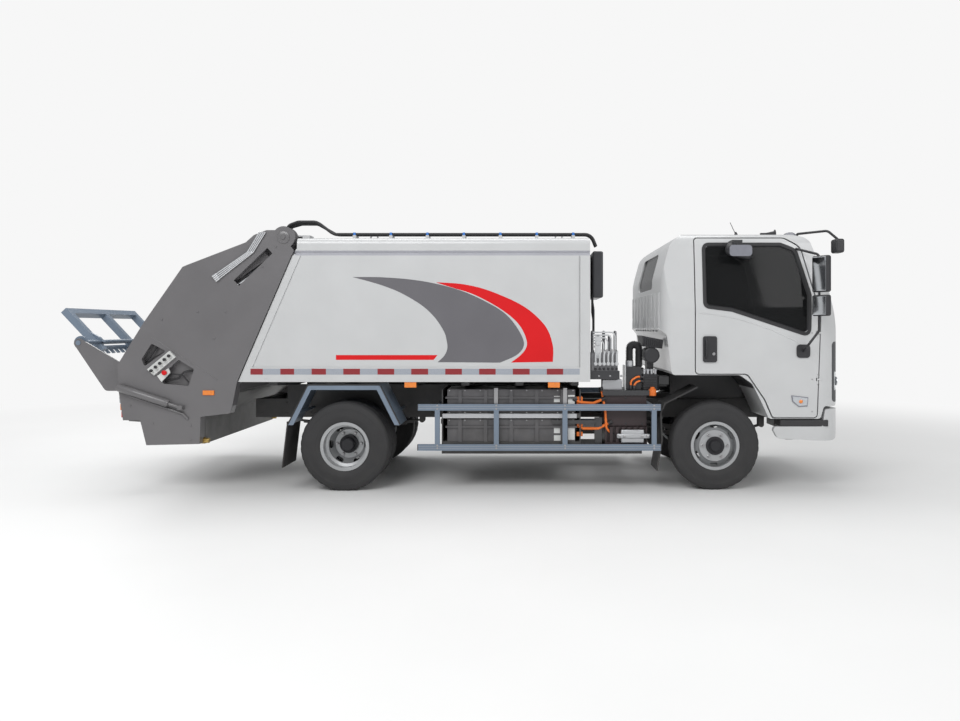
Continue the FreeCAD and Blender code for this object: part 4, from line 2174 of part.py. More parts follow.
def front_spring(side):
    y = side * front_spring_y - spring_width / 2
    return leaf_spring(wheelbase, y, front_spring_length, front_spring_leaves, front_seat_z, front_eye_z)


def rear_spring(side):
    y = side * rear_spring_y - spring_width / 2
    return leaf_spring(0.0, y, rear_spring_length, rear_spring_leaves, rear_seat_z, rear_eye_z)


def front_tyre(side):
    return tyre(front_axle_x, side * front_track / 2)


def rear_tyres(side):
    middle = rear_track / 2
    return together([tyre(rear_axle_x, side * (middle + way * twin_spacing / 2)) for way in (-1, 1)])


def windscreen():
    return cab_glass(windscreen_cutter(glass_clearance))


def rear_window():
    return cab_glass(rear_window_cutter(glass_clearance))


def write(name, shape):
    shape.exportStep("parts/" + name + ".step")


single_pieces = {
    "chassis_frame": chassis_frame, "cross_members": cross_members, "front_axle": front_axle,
    "rear_axle": rear_axle, "drive_motor": drive_motor, "subframe": subframe,
    "cross_bearers": cross_bearers, "body_shell": body_shell, "ejector_plate": ejector,
    "tailgate_shell": tailgate_shell, "hopper_tub": hopper_tub, "packer_carriage": packer_carriage,
    "packer_blade": packer_blade, "lifter_brackets": lifter_brackets, "bin_lifter": bin_lifter,
    "battery_packs": battery_packs, "battery_rack": battery_rack, "control_box": control_box,
    "side_guards": side_guards, "rear_fenders": rear_fenders, "mudflaps": mudflaps, "mudguards": mudguards,
    "cab_shell": cab_shell, "windscreen": windscreen, "rear_window": rear_window,
    "grille_panel": grille_panel, "headlamps": headlamps, "look_down_mirror": look_down_mirror,
    "front_bumper": front_bumper, "seats": seats, "dashboard": dashboard, "steering_wheel": steering_wheel,
    "hydraulic_tank": hydraulic_tank, "valve_block": valve_block, "roof_hoses": roof_hoses,
    "tailgate_pipes": tailgate_pipes, "side_markers": side_markers, "control_panel": control_panel}
sided_pieces = {
    "knuckle": knuckle, "front_rim": front_rim, "front_tyre": front_tyre, "rear_rims": rear_rims,
    "rear_tyres": rear_tyres, "door": door, "door_glass": door_glass, "door_fittings": door_fittings,
    "lift_barrel": lift_barrel, "lift_rod": lift_rod}

os.makedirs("parts", exist_ok=True)
for name, make in single_pieces.items():
    write(name, make())
for name, make in sided_pieces.items():
    write(name + "_right", make(-1))
    write(name + "_left", make(1))
write("front_springs", together([front_spring(-1), front_spring(1)]))
write("rear_springs", together([rear_spring(-1), rear_spring(1)]))
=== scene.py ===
import math
from itertools import product

import bmesh
import bpy
from mathutils import Matrix, Vector


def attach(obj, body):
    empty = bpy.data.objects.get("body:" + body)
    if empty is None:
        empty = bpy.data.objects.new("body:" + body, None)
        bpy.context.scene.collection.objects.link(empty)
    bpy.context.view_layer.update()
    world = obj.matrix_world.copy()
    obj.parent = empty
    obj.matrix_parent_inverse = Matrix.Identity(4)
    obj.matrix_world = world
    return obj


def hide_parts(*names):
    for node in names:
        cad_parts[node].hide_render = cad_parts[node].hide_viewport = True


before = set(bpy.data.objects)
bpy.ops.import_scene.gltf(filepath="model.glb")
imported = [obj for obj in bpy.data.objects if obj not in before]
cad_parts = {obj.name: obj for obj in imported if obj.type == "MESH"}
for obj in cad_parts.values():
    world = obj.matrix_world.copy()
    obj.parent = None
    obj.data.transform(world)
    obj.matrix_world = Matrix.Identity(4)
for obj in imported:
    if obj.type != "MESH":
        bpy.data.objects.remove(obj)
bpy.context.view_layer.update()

# Driving sizes in metres. A station is the distance ahead of the rear axle, and stands for X.
REAR_AXLE_X = -0.8825
WHEELBASE = 3.36
WHEEL_Z = 0.402
FRONT_WHEEL_Y = 0.84
REAR_WHEEL_Y = 0.765
TWIN_OFFSET = 0.124
WHEEL_NUTS = 6
NUT_CIRCLE = 0.111
RIM_BOWL = 0.2
HUB = 0.086
BODY_SIDE = 1.025
TAILGATE_SIDE = 1.05
SIDES = ((-1, "right"), (1, "left"))
FORWARDS, BACKWARDS = (1, 0, 0), (-1, 0, 0)
UP, DOWN = (0, 0, 1), (0, 0, -1)
RIGHTWARDS = (0, -1, 0)

# Where lines start that look for a CAD skin from outside the truck
BESIDE_Y = 1.2
ABOVE_Z = 3.0
BEHIND_X = -5.0
AHEAD_X = 5.0 + REAR_AXLE_X


def at(station):
    return station + REAR_AXLE_X


def placed(points):
    """Points that start with a station, as points that start with X."""
    return [(at(point[0]), *point[1:]) for point in points]


def flat(points, y):
    """Points (station, Z), all set at one Y."""
    return [(at(a), y, b) for a, b in points]


# Materials

DUST_TOP, DUST_FOOT = 1.3, 0.1
DUST_COLOUR = (0.25, 0.23, 0.2, 1.0)
WHITE = (1.0, 1.0, 1.0, 1.0)


def shader_node(tree, kind, inputs=None, **settings):
    """A new node with its properties set; each input gets a value or another node's output."""
    made = tree.nodes.new("ShaderNode" + kind)
    for name, value in settings.items():
        setattr(made, name, value)
    for name, value in (inputs or {}).items():
        if isinstance(value, bpy.types.NodeSocket):
            tree.links.new(value, made.inputs[name])
        else:
            made.inputs[name].default_value = value
    return made


def finish(name, colour, rough=0.4, metal=0.0, coat=0.0, grain=0.06, grain_scale=3.0, bump=0.0,
           bump_scale=400.0, dust=0.0, alpha=1.0, shine=0.5, stretch=(1, 1, 1)):
    """A procedural surface: uneven colour and gloss, fine bumps, and dust that thickens downwards."""
    material = bpy.data.materials.new(name)
    material.use_nodes = True
    tree = material.node_tree
    shader = tree.nodes["Principled BSDF"]
    place = shader_node(tree, "TexCoord").outputs["Object"]
    drawn = shader_node(tree, "Mapping", {"Vector": place, "Scale": stretch}).outputs["Vector"]
    grains = shader_node(tree, "TexNoise", {"Vector": drawn, "Scale": grain_scale, "Detail": 6.0})
    noise = grains.outputs["Fac"]
    shade = shader_node(tree, "MapRange", {"Value": noise, "From Min": 0.3, "From Max": 0.7,
                                           "To Min": 1.0 - grain, "To Max": 1.0 + grain})
    tint = shader_node(tree, "Mix", {"Factor": 1.0, "A": (*colour, 1.0), "B": shade.outputs["Result"]},
                       data_type="RGBA", blend_type="MULTIPLY")
    result = tint.outputs["Result"]
    if dust:
        split = shader_node(tree, "SeparateXYZ", {"Vector": place})
        height = shader_node(tree, "MapRange", {"Value": split.outputs["Z"], "From Min": DUST_TOP,
                                                "From Max": DUST_FOOT, "To Min": 0.0, "To Max": dust})
        spots = shader_node(tree, "TexNoise", {"Vector": place, "Scale": 9.0, "Detail": 8.0})
        amount = shader_node(tree, "Math", {0: height.outputs["Result"], 1: spots.outputs["Fac"]},
                             operation="MULTIPLY")
        cover = shader_node(tree, "Mix", {"Factor": amount.outputs["Value"], "A": result, "B": DUST_COLOUR},
                            data_type="RGBA")
        result = cover.outputs["Result"]
    tree.links.new(result, shader.inputs["Base Color"])
    gloss = shader_node(tree, "MapRange", {"Value": noise, "To Min": max(0.02, rough - 0.05),
                                           "To Max": min(1.0, rough + 0.08)})
    tree.links.new(gloss.outputs["Result"], shader.inputs["Roughness"])
    if bump:
        fine = shader_node(tree, "TexNoise", {"Vector": drawn, "Scale": bump_scale, "Detail": 3.0})
        raised = shader_node(tree, "Bump", {"Height": fine.outputs["Fac"], "Strength": bump,
                                            "Distance": 0.001})
        tree.links.new(raised.outputs["Normal"], shader.inputs["Normal"])
    for socket, value in (("Metallic", metal), ("Coat Weight", coat), ("Coat Roughness", 0.08),
                          ("Alpha", alpha), ("Specular IOR Level", shine)):
        shader.inputs[socket].default_value = value
    return material


white = finish("white_paint", (0.52, 0.527, 0.532), 0.3, coat=0.4, grain=0.025, dust=0.08)
grey = finish("grey_paint", (0.13, 0.126, 0.131), 0.34, coat=0.3, grain=0.05, dust=0.08)
hopper_grey = finish("hopper_steel", (0.17, 0.17, 0.17), 0.5, metal=0.3, grain=0.25, grain_scale=7, bump=0.3,
                     bump_scale=60, dust=0.4)
black_paint = finish("black_paint", (0.026, 0.027, 0.031), 0.36, coat=0.2, grain=0.12, dust=0.2)
frame_paint = finish("frame_paint", (0.03, 0.031, 0.034), 0.5, grain=0.15, bump=0.2, dust=0.35)
casting = finish("casting", (0.05, 0.05, 0.053), 0.6, metal=0.2, grain=0.2, bump=0.5, bump_scale=250,
                 dust=0.4)
silver = finish("wheel_silver", (0.4, 0.41, 0.42), 0.35, metal=0.55, dust=0.15)
tyre_rubber = finish("tyre_rubber", (0.021, 0.021, 0.023), 0.7, grain=0.1, bump=0.25, bump_scale=500,
                     dust=0.08)
black_rubber = finish("black_rubber", (0.02, 0.02, 0.022), 0.6, grain=0.1, bump=0.2, dust=0.2)
black_plastic = finish("black_plastic", (0.022, 0.022, 0.025), 0.42, grain=0.08, bump=0.25, bump_scale=700,
                       dust=0.1)
dark_plastic = finish("dark_plastic", (0.045, 0.048, 0.052), 0.45, bump=0.2, bump_scale=700)
guard_paint = finish("guard_paint", (0.155, 0.2, 0.262), 0.4, coat=0.15, grain=0.05, dust=0.08)
deep_shade = finish("deep_shade", (0.008, 0.008, 0.009), 0.9, grain=0.1)
hub_iron = finish("hub_iron", (0.02, 0.02, 0.023), 0.5, metal=0.3, grain=0.15, bump=0.3, bump_scale=300)
# Painted shade: a darker white for the faces inside the load body's shoulder groove, standing in for the
# shadow in that recess
groove_paint = finish("groove_paint", (0.42, 0.425, 0.46), 0.3, coat=0.4, grain=0.03, dust=0.1)
glass = finish("tinted_glass", (0.01, 0.0105, 0.011), 0.05, grain=0.05, alpha=0.86, shine=0.18)
smoke_lens = finish("smoke_lens", (0.2, 0.205, 0.235), 0.12, coat=0.6, grain=0.05, grain_scale=30)
battery_case = finish("battery_case", (0.075, 0.074, 0.08), 0.4, metal=0.2, grain=0.2, grain_scale=8,
                      bump=0.1, dust=0.3)
valve_grey = finish("valve_grey", (0.2, 0.2, 0.21), 0.4, metal=0.4, grain=0.12, dust=0.2)
pipe_white = finish("pipe_white", (0.5, 0.51, 0.52), 0.3, coat=0.3, dust=0.1)
lens = finish("clear_lens", (0.7, 0.73, 0.76), 0.08, coat=0.8, grain=0.04, grain_scale=30, alpha=0.6)
amber = finish("amber_lens", (0.75, 0.2, 0.015), 0.15, coat=0.6, grain=0.08, grain_scale=40, bump=0.3,
               bump_scale=120)
red_lens = finish("red_lens", (0.5, 0.012, 0.012), 0.15, coat=0.6, grain=0.08, grain_scale=40, bump=0.3,
                  bump_scale=120)
chrome = finish("chrome", (0.72, 0.73, 0.75), 0.1, metal=1.0, grain=0.03)
steel = finish("plain_steel", (0.4, 0.4, 0.41), 0.33, metal=0.9, grain=0.1, dust=0.2)
aluminium = finish("aluminium", (0.52, 0.53, 0.55), 0.38, metal=0.75, dust=0.25, stretch=(0.2, 3, 3))
fabric = finish("seat_cloth", (0.05, 0.054, 0.062), 0.85, grain=0.2, grain_scale=60, bump=0.6, bump_scale=500)
red = finish("red_film", (0.62, 0.004, 0.007), 0.4, grain=0.04, shine=0.3)
dark_red = finish("reflective_red", (0.24, 0.01, 0.016), 0.35, coat=0.2, grain=0.08, grain_scale=300)
pale_film = finish("reflective_pale", (0.31, 0.335, 0.38), 0.25, coat=0.5, grain_scale=300)
dark_grey = finish("dark_grey_film", (0.122, 0.119, 0.131), 0.35, coat=0.2, grain=0.04)
orange = finish("orange_cable", (0.72, 0.16, 0.02), 0.45, grain=0.08)
blue = finish("blue_mark", (0.03, 0.16, 0.5), 0.4, grain=0.08)
brass = finish("brass", (0.55, 0.38, 0.12), 0.3, metal=0.9, grain=0.12, dust=0.1)
panel_white = finish("blank_panel", (0.6, 0.61, 0.6), 0.35, grain=0.04)
unit_brown = finish("unit_brown", (0.034, 0.021, 0.023), 0.45, grain=0.1, bump=0.15, bump_scale=500)
mirror_glass = finish("mirror_glass", (0.75, 0.77, 0.79), 0.03, metal=1.0, grain=0.02)

looks = {}
for material, names in (
        (frame_paint, "chassis_frame cross_members cross_bearers subframe battery_rack"),
        (casting, "front_axle rear_axle front_springs rear_springs drive_motor knuckle"),
        (silver, "front_rim rear_rims"),
        (tyre_rubber, "front_tyre rear_tyres"),
        (white, "body_shell front_bumper cab_shell door"),
        (grey, "tailgate_shell lifter_brackets"),
        (hopper_grey, "ejector_plate hopper_tub packer_carriage packer_blade"),
        (black_paint, "lift_barrel hydraulic_tank"),
        (chrome, "lift_rod tailgate_pipes"),
        (guard_paint, "bin_lifter side_guards rear_fenders"),
        (panel_white, "control_panel"),
        (battery_case, "battery_packs"),
        (unit_brown, "control_box"),
        (valve_grey, "valve_block"),
        (black_rubber, "mudflaps mudguards roof_hoses"),
        (black_plastic, "look_down_mirror steering_wheel door_fittings"),
        (dark_plastic, "grille_panel dashboard"),
        (glass, "windscreen rear_window door_glass"),
        (lens, "headlamps"),
        (amber, "side_markers"),
        (fabric, "seats")):
    looks.update(dict.fromkeys(names.split(), material))
for name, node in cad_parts.items():
    base = name.replace("_left", "").replace("_right", "")
    node.data.materials.clear()
    node.data.materials.append(looks[base])
    node.data.shade_smooth()
    node.data.set_sharp_from_angle(angle=math.radians(28))


def repaint(name, material, chosen):
    """A second material on the faces of a CAD node that a rule picks by centre and normal."""
    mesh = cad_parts[name].data
    mesh.materials.append(material)
    index = len(mesh.materials) - 1
    for face in mesh.polygons:
        if chosen(face.center, face.normal):
            face.material_index = index


def from_hub(centre, station):
    return math.hypot(centre.x - at(station), centre.z - WHEEL_Z)


# Wheel bowls with painted shade, dark hubs, mirror glass, two-colour nodes, and painted shade in the load
# body's shoulder groove
for side, word in SIDES:
    repaint("front_rim_" + word, deep_shade,
            lambda c, n: from_hub(c, WHEELBASE) < RIM_BOWL and n.y * side < 0.1
            and (c.y * side < 0.85 or from_hub(c, WHEELBASE) < 0.19 and n.y * side < -0.1))
    repaint("front_rim_" + word, hub_iron, lambda c, n: from_hub(c, WHEELBASE) < HUB and c.y * side > 0.8)
    repaint("rear_rims_" + word, deep_shade,
            lambda c, n: from_hub(c, 0.0) < RIM_BOWL and n.y * side < 0.3 and c.y * side < 0.81)
    repaint("rear_rims_" + word, hub_iron, lambda c, n: from_hub(c, 0.0) < HUB)
    repaint("door_fittings_" + word, mirror_glass,
            lambda c, n: n.x < -0.8 and abs(c.y) > 1.09 and 1.58 < c.z < 2.11)
repaint("valve_block", black_paint, lambda c, n: c.z < 1.086)
repaint("control_box", black_paint, lambda c, n: c.z > 0.858)
# Painted shade: the faces inside the shoulder groove take the darker groove paint
repaint("body_shell", groove_paint,
        lambda c, n: BODY_SIDE - 0.03 < abs(c.y) < BODY_SIDE - 0.005 and 2.12 < c.z < 2.175)


# Builders of small pieces, all in the row frame

def add(name, parts, material, body="chassis", smooth=30, bevel=0.0):
    """A new piece that rides a body, made of parts that are each (verts, faces)."""
    verts, faces = [], []
    for some, polygons in parts:
        start = len(verts)
        verts += [tuple(v) for v in some]
        faces += [tuple(start + i for i in polygon) for polygon in polygons]
    mesh = bpy.data.meshes.new(name)
    mesh.from_pydata(verts, [], faces)
    form = bmesh.new()
    form.from_mesh(mesh)
    bmesh.ops.recalc_face_normals(form, faces=form.faces)
    form.to_mesh(mesh)
    form.free()
    mesh.materials.append(material)
    item = bpy.data.objects.new(name, mesh)
    bpy.context.scene.collection.objects.link(item)
    if smooth:
        mesh.shade_smooth()
        mesh.set_sharp_from_angle(angle=math.radians(smooth))
    if bevel:
        soft = item.modifiers.new("edge", "BEVEL")
        soft.width = bevel
        soft.segments = 2
        soft.limit_method = "ANGLE"
    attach(item, body)
    return item


def block(low, high):
    (a, b, c), (d, e, f) = low, high
    verts = [(x, y, z) for x in (a, d) for y in (b, e) for z in (c, f)]
    return verts, [(0, 1, 3, 2), (4, 6, 7, 5), (0, 4, 5, 1), (2, 3, 7, 6), (0, 2, 6, 4), (1, 5, 7, 3)]


def cell(low, high):
    """A block whose first numbers are stations."""
    return block((at(low[0]), *low[1:]), (at(high[0]), *high[1:]))


def slab(outline, y0, y1):
    """A flat (X, Z) outline made thick along Y."""
    count = len(outline)
    verts = [(x, y, z) for y in (y0, y1) for x, z in outline]
    sides = [(i, (i + 1) % count, count + (i + 1) % count, count + i) for i in range(count)]
    low = tuple(range(count))
    high = tuple(range(count, 2 * count))
    return verts, [low, high[::-1]] + [s[::-1] for s in sides]


def turned(profile, centre, axis, steps=24):
    """A ring or disc turned about an axis: profile is a list of (radius, along)."""
    way = Vector(axis).normalized()
    across = way.orthogonal().normalized()
    other = way.cross(across)
    verts = []
    for step in range(steps):
        angle = 2 * math.pi * step / steps
        spoke = across * math.cos(angle) + other * math.sin(angle)
        verts += [Vector(centre) + spoke * r + way * a for r, a in profile]
    count = len(profile)
    faces = []
    for step in range(steps):
        after = (step + 1) % steps
        for i in range(count - 1):
            faces.append((step * count + i, after * count + i, after * count + i + 1, step * count + i + 1))
    for edge in (0, count - 1):
        if profile[edge][0] > 1e-6:
            faces.append(tuple(step * count + edge for step in range(steps)))
    return verts, faces


def rod(start, end, radius, steps=12):
    a, b = Vector(start), Vector(end)
    return turned([(radius, 0.0), (radius, (b - a).length)], a, b - a, steps)


def smooth_path(points, radius, steps=5):
    """Corner points with rounded turns."""
    points = [Vector(p) for p in points]
    path = [points[0]]
    for before, here, after in zip(points, points[1:], points[2:]):
        to, on = before - here, after - here
        angle = to.angle(on)
        reach = min(radius / math.tan(angle / 2), to.length * 0.48, on.length * 0.48)
        start, end = here + to.normalized() * reach, here + on.normalized() * reach
        for step in range(steps + 1):
            t = step / steps
            path.append(start * (1 - t) ** 2 + here * 2 * t * (1 - t) + end * t * t)
    return path + [points[-1]]


def tube(points, radius, bend=0.04, steps=10):
    """A pipe or cable along corner points."""
    path = smooth_path(points, bend) if len(points) > 2 else [Vector(p) for p in points]
    verts = []
    normal = (path[1] - path[0]).orthogonal().normalized()
    for i, spot in enumerate(path):
        way = (path[min(i + 1, len(path) - 1)] - path[max(i - 1, 0)]).normalized()
        normal = (normal - way * normal.dot(way)).normalized()
        side = way.cross(normal)
        for step in range(steps):
            angle = 2 * math.pi * step / steps
            verts.append(spot + (normal * math.cos(angle) + side * math.sin(angle)) * radius)
    faces = []
    for i in range(len(path) - 1):
        for step in range(steps):
            after = (step + 1) % steps
            low, high = i * steps, (i + 1) * steps
            faces.append((low + step, low + after, high + after, high + step))
    faces.append(tuple(range(steps))[::-1])
    faces.append(tuple((len(path) - 1) * steps + step for step in range(steps)))
    return verts, faces


def hit(node, start, way):
    """Where a straight line first meets a CAD node."""
    met, spot, _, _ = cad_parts[node].ray_cast(Vector(start), Vector(way).normalized())
    return spot if met else None


def nearest(nodes, start, way):
    """Where a straight line first meets any of some CAD nodes."""
    spots = [hit(node, start, way) for node in nodes]
    spots = [spot for spot in spots if spot is not None]
    return min(spots, key=lambda spot: (spot - Vector(start)).length) if spots else None


def catmull(points, steps=8):
    """A smooth line through points."""
    ends = [points[0]] + list(points) + [points[-1]]
    line = []
    for a, b, c, d in zip(ends, ends[1:], ends[2:], ends[3:]):
        for step in range(steps):
            t = step / steps
            line.append(tuple(0.5 * (2 * q + (r - p) * t + (2 * p - 5 * q + 4 * r - s) * t * t
                                     + (3 * q - p - 3 * r + s) * t ** 3) for p, q, r, s in zip(a, b, c, d)))
    return line + [points[-1]]


def ribbon(outer, inner, y0, y1):
    """A thick strip between two smooth lines of the same count."""
    count = len(outer)
    verts = []
    for y in (y0, y1):
        verts += [(x, y, z) for x, z in outer] + [(x, y, z) for x, z in inner]
    faces = []
    for i in range(count - 1):
        faces.append((i, i + 1, count + i + 1, count + i))
        faces.append((2 * count + i, 3 * count + i, 3 * count + i + 1, 2 * count + i + 1))
        faces.append((i, 2 * count + i, 2 * count + i + 1, i + 1))
        faces.append((count + i, count + i + 1, 3 * count + i + 1, 3 * count + i))
    for i in (0, count - 1):
        faces.append((i, count + i, 3 * count + i, 2 * count + i))
    return verts, faces

def cushion(centre, half, lean, crown, steps=36):
    """A closed pad and its piping line: the face swells, the sides pull in and sewn channels run along."""
    turn = Matrix.Rotation(math.radians(lean), 3, "Y")
    marks = [math.sin(math.pi * (i / steps - 0.5)) for i in range(steps + 1)]

    def spot(u, v, way):
        body = max(0.0, (1 - abs(u) ** 7) * (1 - abs(v) ** 7)) ** 0.4
        channel = sum(math.exp(-((v - mark) / 0.035) ** 2) for mark in (-0.55, -0.2, 0.2, 0.55))
        rise = way * half[2] * body
        if way > 0:
            rise += crown * (1 - u * u) * (1 - v * v) - 0.009 * channel * body * (1 - u * u)
        pull_u, pull_v = 1 - 0.03 * (1 - v * v), 1 - 0.03 * (1 - u * u)
        return centre + turn @ Vector((half[0] * u * pull_u, half[1] * v * pull_v, rise))

    verts, faces, index = [], [], {}
    for way in (1, -1):
        for i, u in enumerate(marks):
            for j, v in enumerate(marks):
                key = (i, j, 0 if i in (0, steps) or j in (0, steps) else way)
                if key not in index:
                    index[key] = len(verts)
                    verts.append(spot(u, v, way))
        for i in range(steps):
            for j in range(steps):
                faces.append(tuple(index.get((a, b, way), index.get((a, b, 0)))
                                   for a, b in ((i, j), (i + 1, j), (i + 1, j + 1), (i, j + 1))))
    loop = [(i, 0) for i in range(0, steps, 2)] + [(steps, j) for j in range(0, steps, 2)]
    loop += [(i, steps) for i in range(steps, 0, -2)] + [(0, j) for j in range(steps, -1, -2)]
    return (verts, faces), [verts[index[(i, j, 0)]] for i, j in loop]


# Films on the load body: crescents, a bar and the reflective strip's fields, as (station, Z) outlines

FILM_LOW, FILM_HIGH = BODY_SIDE - 0.001, BODY_SIDE + 0.0008
STRIP_LOW, STRIP_HIGH = BODY_SIDE + 0.009, BODY_SIDE + 0.0108
STRIP_FOOT, STRIP_HEAD = 1.056, 1.109
grey_outer = [(0.086, 1.931), (0.328, 1.93), (0.598, 1.91), (0.831, 1.871), (1.073, 1.803), (1.298, 1.7),
              (1.459, 1.596), (1.572, 1.456), (1.621, 1.328), (1.56, 1.235), (1.406, 1.163)]
grey_inner = [(0.086, 1.929), (0.2, 1.9), (0.36, 1.852), (0.522, 1.786), (0.701, 1.679), (0.819, 1.569),
              (0.901, 1.446), (0.925, 1.37), (0.933, 1.292), (0.905, 1.225), (0.845, 1.167)]
red_outer = [(0.835, 1.884), (1.043, 1.871), (1.222, 1.836), (1.4, 1.774), (1.594, 1.683), (1.729, 1.583),
             (1.832, 1.46), (1.881, 1.307), (1.88, 1.17)]
red_inner = [(0.838, 1.881), (0.98, 1.836), (1.163, 1.778), (1.37, 1.671), (1.52, 1.563), (1.608, 1.456),
             (1.648, 1.329), (1.6, 1.24), (1.504, 1.164)]
bar = [(-0.067, 1.231), (-0.067, 1.188), (0.81, 1.188), (0.845, 1.231)]
reds = [(-0.831, -0.72), (-0.563, -0.439), (-0.283, -0.154), (0.001, 0.151), (0.308, 0.458), (0.61, 0.762),
        (0.915, 1.065), (1.219, 1.367), (1.52, 1.672), (1.825, 1.972)]
pales = list(zip([b for _, b in reds], [a for a, _ in reds[1:]])) + [(1.972, 2.12)]
for side, word in SIDES:
    low, high = side * FILM_LOW, side * FILM_HIGH
    for tint, look, outer, inner in (("grey", dark_grey, grey_outer, grey_inner),
                                     ("red", red, red_outer, red_inner)):
        crescent = ribbon(placed(catmull(outer)), placed(catmull(inner)), low, high)
        add(tint + "_crescent_" + word, [crescent], look, smooth=0)
    add("red_bar_" + word, [slab(placed(bar), low, high)], red, smooth=0)
    low, high = side * STRIP_LOW, side * STRIP_HIGH
    for tint, look, spans in (("reds", dark_red, reds), ("pales", pale_film, pales)):
        fields = []
        for a, b in spans:
            corners = ((a, STRIP_FOOT), (b, STRIP_FOOT), (b, STRIP_HEAD), (a, STRIP_HEAD))
            fields.append(slab(placed(corners), low, high))
        add("strip_%s_%s" % (tint, word), fields, look, smooth=0)


# Tyres with grooved treads, and wheel nuts

def tyre_form(x, y, steps=108):
    """A tyre's skin: ribs and grooves round the tread, notched shoulders and lined sidewalls."""
    wall = [(0.2035, -0.07), (0.222, -0.0735), (0.223, -0.088), (0.236, -0.094), (0.24, -0.0955),
            (0.262, -0.0985), (0.264, -0.0998), (0.3, -0.1022), (0.303, -0.1012), (0.34, -0.1008),
            (0.342, -0.1018), (0.366, -0.0975), (0.386, -0.0905)]
    tread = [(0.398, -0.0785), (0.402, -0.0735)]
    for groove in (-0.045, -0.015, 0.015, 0.045):
        tread += [(0.402, groove - 0.005), (0.393, groove - 0.003), (0.393, groove + 0.003),
                  (0.402, groove + 0.005)]
    tread += [(0.402, 0.0735), (0.398, 0.0785)]
    profile = wall + tread + [(r, -a) for r, a in reversed(wall)]
    shoulder = len(wall)
    notched = {shoulder - 1: 0.002, shoulder: 0.0035, shoulder + 1: 0.003}
    mirror = len(profile) - 1
    notched.update({mirror - i: depth for i, depth in list(notched.items())})
    verts = []
    for step in range(steps):
        angle = 2 * math.pi * step / steps
        for i, (r, a) in enumerate(profile):
            radius = r - (notched.get(i, 0.0) if step % 3 == 0 else 0.0)
            verts.append((x + radius * math.sin(angle), y + a, WHEEL_Z + radius * math.cos(angle)))
    faces = []
    size = len(profile)
    for step in range(steps):
        after = (step + 1) % steps
        for i in range(size - 1):
            faces.append((step * size + i, after * size + i, after * size + i + 1, step * size + i + 1))
        faces.append((step * size + size - 1, after * size + size - 1, after * size, step * size))
    return verts, faces


def nuts(name, rim, x, side, body):
    """Wheel nuts with their studs, seated on a rim's disc."""
    nut = [(0.0165, 0.0), (0.0165, 0.004), (0.0145, 0.005), (0.0145, 0.017), (0.012, 0.02)]
    made = []
    for k in range(WHEEL_NUTS):
        angle = 2 * math.pi * (k + 0.5) / WHEEL_NUTS
        across, z = x + NUT_CIRCLE * math.sin(angle), WHEEL_Z + NUT_CIRCLE * math.cos(angle)
        spot = hit(rim, (across, side * BESIDE_Y, z), (0, -side, 0))
        if spot is None:
            continue
        base = Vector((across, spot.y - side * 0.002, z))
        made.append(turned(nut, base, (0, side, 0), 6))
        made.append(rod(base, base + Vector((0, side * 0.03, 0)), 0.007, 8))
    if made:
        add(name, made, steel, body, smooth=20)


for side, word in SIDES:
    front_x, rear_x = at(WHEELBASE), at(0.0)
    tyre = add("front_tread_" + word, [tyre_form(front_x, side * FRONT_WHEEL_Y)], tyre_rubber,
               "front_wheel_" + word, smooth=24)
    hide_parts("front_tyre_" + word)
    pair = [tyre_form(rear_x, side * (REAR_WHEEL_Y + offset)) for offset in (-TWIN_OFFSET, TWIN_OFFSET)]
    twins = add("rear_tread_" + word, pair, tyre_rubber, "rear_wheel_" + word, smooth=24)
    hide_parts("rear_tyres_" + word)
    nuts("front_nuts_" + word, "front_rim_" + word, front_x, side, "front_wheel_" + word)
    nuts("rear_nuts_" + word, "rear_rims_" + word, rear_x, side, "rear_wheel_" + word)


# Shapes that lie on the skin of CAD nodes

def draped(node, points, way, lift=0.0):
    """Points set on a CAD node's skin by straight lines along a way; misses are left out."""
    way = Vector(way).normalized()
    spots = []
    for point in points:
        spot = hit(node, Vector(point) - way * 2.0, way)
        if spot is not None:
            spots.append(spot - way * lift)
    return spots


def outline_band(nodes, lines, way, depth):
    """A band across outlines of the same count, draped on the skin of some nodes and closed below it."""
    direction = Vector(way).normalized()
    rows = []
    for line in lines:
        row = []
        for point in line:
            spot = nearest(nodes, Vector(point) - direction * 2.0, direction)
            if spot is None:
                spot = Vector(point)
                spot -= direction * (spot - row[-1]).dot(direction) if row else Vector()
            row.append(spot)
        rows.append(row)
    count = len(rows[0])
    verts = [spot + direction * lift for lift in (-depth, 0.002) for row in rows for spot in row]
    under = count * len(rows)
    faces = []
    for i in range(count):
        j = (i + 1) % count
        for k in range(len(rows) - 1):
            a, b = k * count, (k + 1) * count
            faces.append((a + i, b + i, b + j, a + j))
            faces.append((under + a + i, under + a + j, under + b + j, under + b + i))
        for k in (0, len(rows) - 1):
            a = k * count
            faces.append((a + i, a + j, under + a + j, under + a + i))
    return verts, faces


def rounded(outline, radii, steps=5):
    """A closed flat outline with each corner rounded by its own radius."""
    points = [Vector((a, b, 0)) for a, b in outline]
    line = []
    for before, here, after, radius in zip(points[-1:] + points[:-1], points, points[1:] + points[:1], radii):
        line += smooth_path((before, here, after), radius, steps)[1:-1]
    return [(point.x, point.y) for point in line]


def dense(outline, step=0.04):
    """An outline with points added along its straight runs."""
    line = []
    for a, b in zip(outline, outline[1:] + outline[:1]):
        a, b = Vector(a), Vector(b)
        parts = max(1, int((b - a).length / step))
        line += [a + (b - a) * i / parts for i in range(parts)]
    return line


